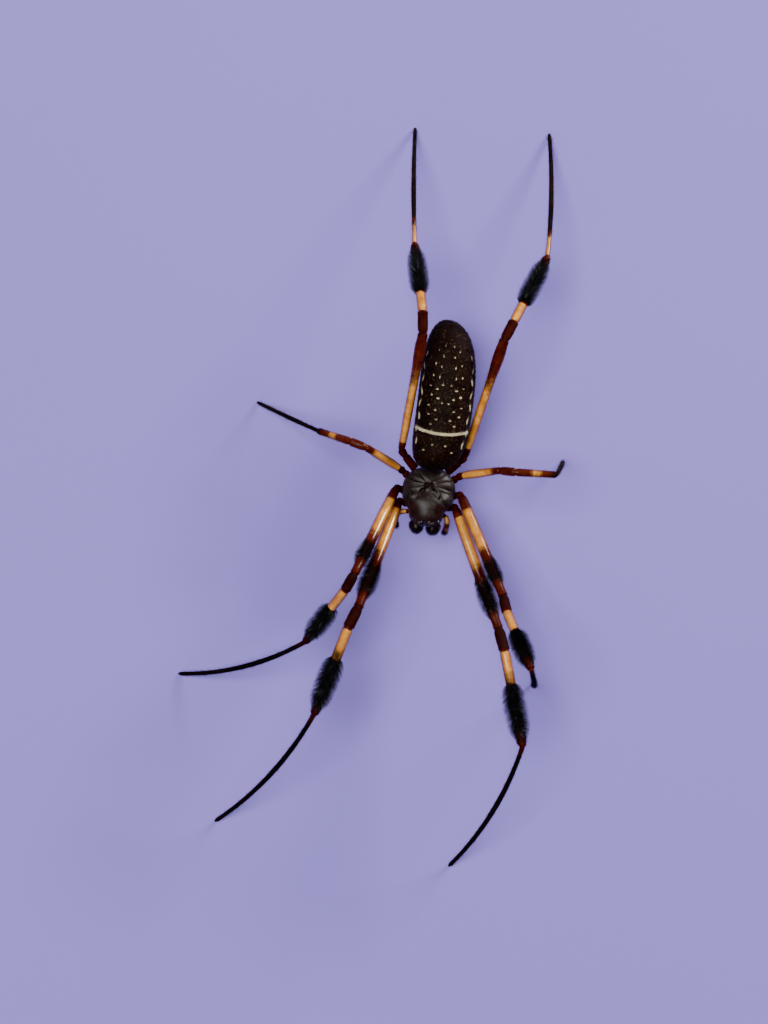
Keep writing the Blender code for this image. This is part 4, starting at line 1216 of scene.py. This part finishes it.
for leg in legs:
    ends = leg.distance[-1] - 0.5
    start = np.interp(0.55, leg.zones, leg.distance)
    count = round((ends - start) * LEG_HAIRS_PER_MM)
    zone = np.interp(shake.uniform(start, ends, count), leg.distance, leg.zones)
    turn = shake.uniform(0.0, math.tau, count)
    ways, outwards, roots, unwrap = leg.skin_at(zone, turn, 0.9)
    ways = bristles(LEG_HAIR_LEAN, ways, outwards)
    lengths = np.where(zone > 4.0, FOOT_HAIR_LENGTH, LEG_HAIR_LENGTH) * shake.uniform(0.6, 1.35, count)
    tints = np.interp(zone, *zip(*AMBER_ZONES[leg.leg])) * shake.uniform(0.5, 1.0, count)
    grow_hair(
        "hair_leg_" + leg.name, leg_hair_finish, "black_cuticle", roots, ways,
        lengths, LEG_HAIR_WIDTH * shake.uniform(0.7, 1.2, count), unwrap, 2, tints,
    )

for side_name, (palp_line, palp_share, palp_radii) in palps.items():
    share = 0.15 + 0.83 * shake.random(PALP_HAIRS) ** 0.75
    ways = unit(interpolated(share, palp_share, np.gradient(palp_line, axis=0)))
    outwards = unit(np.cross(ways, shake.normal(size=(PALP_HAIRS, 3))))
    depth = 0.9 * np.interp(share, palp_share, palp_radii)
    roots = interpolated(share, palp_share, palp_line) + outwards * depth[:, None]
    ways = bristles(PALP_HAIR_LEAN, ways, outwards)
    unwrap = unwrapped(share, np.arctan2(outwards[:, 2], outwards[:, 0]))
    lengths = np.where(share > 0.74, PALP_TIP_HAIR_LENGTH, PALP_HAIR_LENGTH)
    lengths = lengths * shake.uniform(0.6, 1.3, PALP_HAIRS)
    grow_hair(
        "hair_palp_" + side_name, leg_hair_finish, "black_cuticle", roots, ways,
        lengths, LEG_HAIR_WIDTH * shake.uniform(0.7, 1.1, PALP_HAIRS), unwrap, 2,
        np.where(share > 0.72, 0.0, 0.5),
    )

# ---------------------------------------------------------------------------------------------
# The coat of the body: short silver hair that lies back over the shield, thin on the head and
# absent from the bare spots, dark hair on the chelicerae, and fine hair all over the abdomen in
# the colours of its marks.
ROOT_DEPTH = 0.03  # how far under the skin each hair starts
BODY_HAIR_WIDTH = 0.028
BODY_HAIR_LIFT = 30.0  # degrees from the skin at the root


def scattered(piece, count):
    """Random places on the piece's skin, with their normals, in the spider's own frame."""
    mesh = piece.data
    mesh.calc_loop_triangles()
    corners = np.empty(len(mesh.loop_triangles) * 3, np.int32)
    mesh.loop_triangles.foreach_get("vertices", corners)
    corners = corners.reshape(-1, 3)
    turned = np.array(BODY_TO_FLOOR.to_3x3().inverted()) * MM
    points, normals = own_frame(points_of(piece)), normals_of(piece) @ turned.T
    first, second, third = (points[corners[:, index]] for index in range(3))
    areas = np.linalg.norm(np.cross(second - first, third - first), axis=1)
    chosen = shake.choice(len(corners), count, p=areas / areas.sum())
    shares = shake.dirichlet((1.0, 1.0, 1.0), count)
    place, normal = (
        sum(rows[corners[chosen, index]] * shares[:, index:index + 1] for index in range(3))
        for rows in (points, normals)
    )
    return place, unit(normal)


def lying_back(normals, lie, lift_degrees):
    """Directions that lie along the skin, rising from it at the root and levelling out."""
    flat = unit(lie - normals * np.sum(lie * normals, axis=1)[:, None])
    lift = np.radians(shake.normal(lift_degrees, 7.0, len(normals)))[:, None]
    return tuple(flat * np.cos(angle) + normals * np.sin(angle) for angle in (lift, lift * 0.2))


SHIELD_HAIRS = 13000
SHIELD_HAIR_LENGTH = 0.32
SHIELD_BLACK = ((0.012, 0.008, 0.007), (0.032, 0.023, 0.019))
silver_finish = Finish("silver_hair", SHIELD_BLACK, 0.5, 0.0)
silver_finish.painted("tint", (0.12, 0.105, 0.09), (0.27, 0.25, 0.22))
silver_finish = silver_finish.done(Specular_IOR_Level=0.12)
roots, normals = scattered(chest, SHIELD_HAIRS)
height = roots[:, 2] - MARGIN_HEIGHT
thin_head = np.interp(roots[:, 1], (-8.8, -8.2, -5.5, -4.5), (0.15, 0.5, 0.75, 1.0))
growing = shake.random(len(roots)) < (1.0 - bare_of_hair(roots)) * thin_head
kept = growing & (height > 0.05) & (roots[:, 1] > -8.55)
roots, normals = roots[kept], normals[kept]
count = len(roots)
swirl = np.column_stack((0.35 * roots[:, 0], np.ones(count), np.zeros(count)))
ways = lying_back(normals, swirl + shake.normal(0.0, 0.25, roots.shape), BODY_HAIR_LIFT)
angle = np.arctan2(roots[:, 2] - MARGIN_HEIGHT, roots[:, 0])
unwrap = unwrapped((CHEST_REAR - roots[:, 1]) / CHEST_LENGTH, angle)
grow_hair(
    "coat_head_and_chest", silver_finish, "carapace", roots - normals * ROOT_DEPTH, ways,
    SHIELD_HAIR_LENGTH * shake.uniform(0.6, 1.2, count),
    BODY_HAIR_WIDTH * shake.uniform(0.7, 1.2, count),
    unwrap, 2, shake.uniform(0.0, 1.0, count) ** 2.6,
)

CHELICERA_HAIRS = 2600
CHELICERA_HAIR_LENGTH = 0.5
CHELICERA_HAIR_WIDTH = 0.026
CHELICERA_HAIR_LIFT = 42.0
for chelicera in chelicerae:
    roots, normals = scattered(chelicera, CHELICERA_HAIRS)
    kept = (normals[:, 1] < 0.25) & (roots[:, 2] > 4.2) & (roots[:, 1] < -8.2)
    roots, normals = roots[kept], normals[kept]
    count = len(roots)
    lie = (0.0, -0.7, -0.7) + shake.normal(0.0, 0.2, roots.shape)
    ways = lying_back(normals, lie, CHELICERA_HAIR_LIFT)
    unwrap = np.column_stack((0.02 + 0.96 * (roots[:, 2] - 3.5) / 4.5, 0.5 + 0.15 * roots[:, 0]))
    grow_hair(
        chelicera.name.replace("skin", "hair"), leg_hair_finish, "chelicera",
        roots - normals * ROOT_DEPTH, ways,
        CHELICERA_HAIR_LENGTH * shake.uniform(0.5, 1.2, count),
        CHELICERA_HAIR_WIDTH * shake.uniform(0.7, 1.2, count),
        unwrap, 2, 0.3 * (shake.random(count) < 0.15),
    )

ABDOMEN_HAIRS = 17000
ABDOMEN_HAIR_LENGTH = 0.36
HAIR_UMBER = ((0.006, 0.0024, 0.0017), (0.016, 0.0070, 0.0045))
abdomen_hair_finish = Finish("abdomen_hair", HAIR_UMBER, 0.6, 0.0)
abdomen_hair_finish.painted("tint", (0.55, 0.47, 0.30), (0.80, 0.74, 0.56))
abdomen_hair_finish = abdomen_hair_finish.done(Specular_IOR_Level=0.05)
roots, normals = scattered(abdomen, ABDOMEN_HAIRS)
kept = (roots[:, 1] > ABDOMEN_FRONT + 0.05) & (roots[:, 2] > spinneret_base[2] - 0.2)
roots, normals = roots[kept], normals[kept]
count = len(roots)
lie = (0.0, 1.0, -0.15) + shake.normal(0.0, 0.18, roots.shape)
ways = lying_back(normals, lie, BODY_HAIR_LIFT)
share, angle, _ = abdomen_place(roots)
pale, _ = abdomen_marks(roots)
grow_hair(
    "coat_abdomen", abdomen_hair_finish, "abdomen", roots - normals * ROOT_DEPTH, ways,
    ABDOMEN_HAIR_LENGTH * shake.uniform(0.6, 1.3, count),
    BODY_HAIR_WIDTH * shake.uniform(0.7, 1.2, count),
    unwrapped(share, angle), 2,
    np.clip(0.04 + 0.9 * pale, 0.0, 1.0) * shake.uniform(0.6, 1.0, count),
)

# ---------------------------------------------------------------------------------------------
# The claws: two black hooks at the tip of each tarsus, which take hold of what it stands on.
CLAW_LENGTH = 0.42
CLAW_RADIUS = 0.055
CLAW_BLACK = ((0.006, 0.005, 0.005), (0.020, 0.012, 0.010))
claw_finish = Finish("claw_horn", CLAW_BLACK, 0.2, 0.0).done(Coat_Weight=0.4, Coat_Roughness=0.1)
for leg in legs:
    tip = int(np.searchsorted(leg.distance, leg.distance[-1] - CLAW_LENGTH))
    root, way, beside = leg.places[tip], leg.ways[tip], leg.beside[tip]
    level = np.array((way[0], way[1], 0.0)) / math.hypot(way[0], way[1])
    hooks = []
    for _, side in SIDES:
        start = root + beside * side * 0.07 + (0, 0, 0.02)
        bend = root + level * 0.26 + beside * side * 0.13 + (0, 0, 0.10)
        end = root + level * 0.36 + beside * side * 0.12
        start[2], bend[2], end[2] = max(start[2], 0.12), max(bend[2], 0.15), 0.02
        hook_line, hook_share = smooth_line([start, bend, end], 7)
        hooks.append(tube_through("claw", hook_line, CLAW_RADIUS * (1.0 - 0.8 * hook_share), 2))
    claws = joined("claws_" + leg.name, hooks)
    settle(claws, claw_finish, "black_cuticle")
    keep_in_box(claws, HAIR_MARGIN)
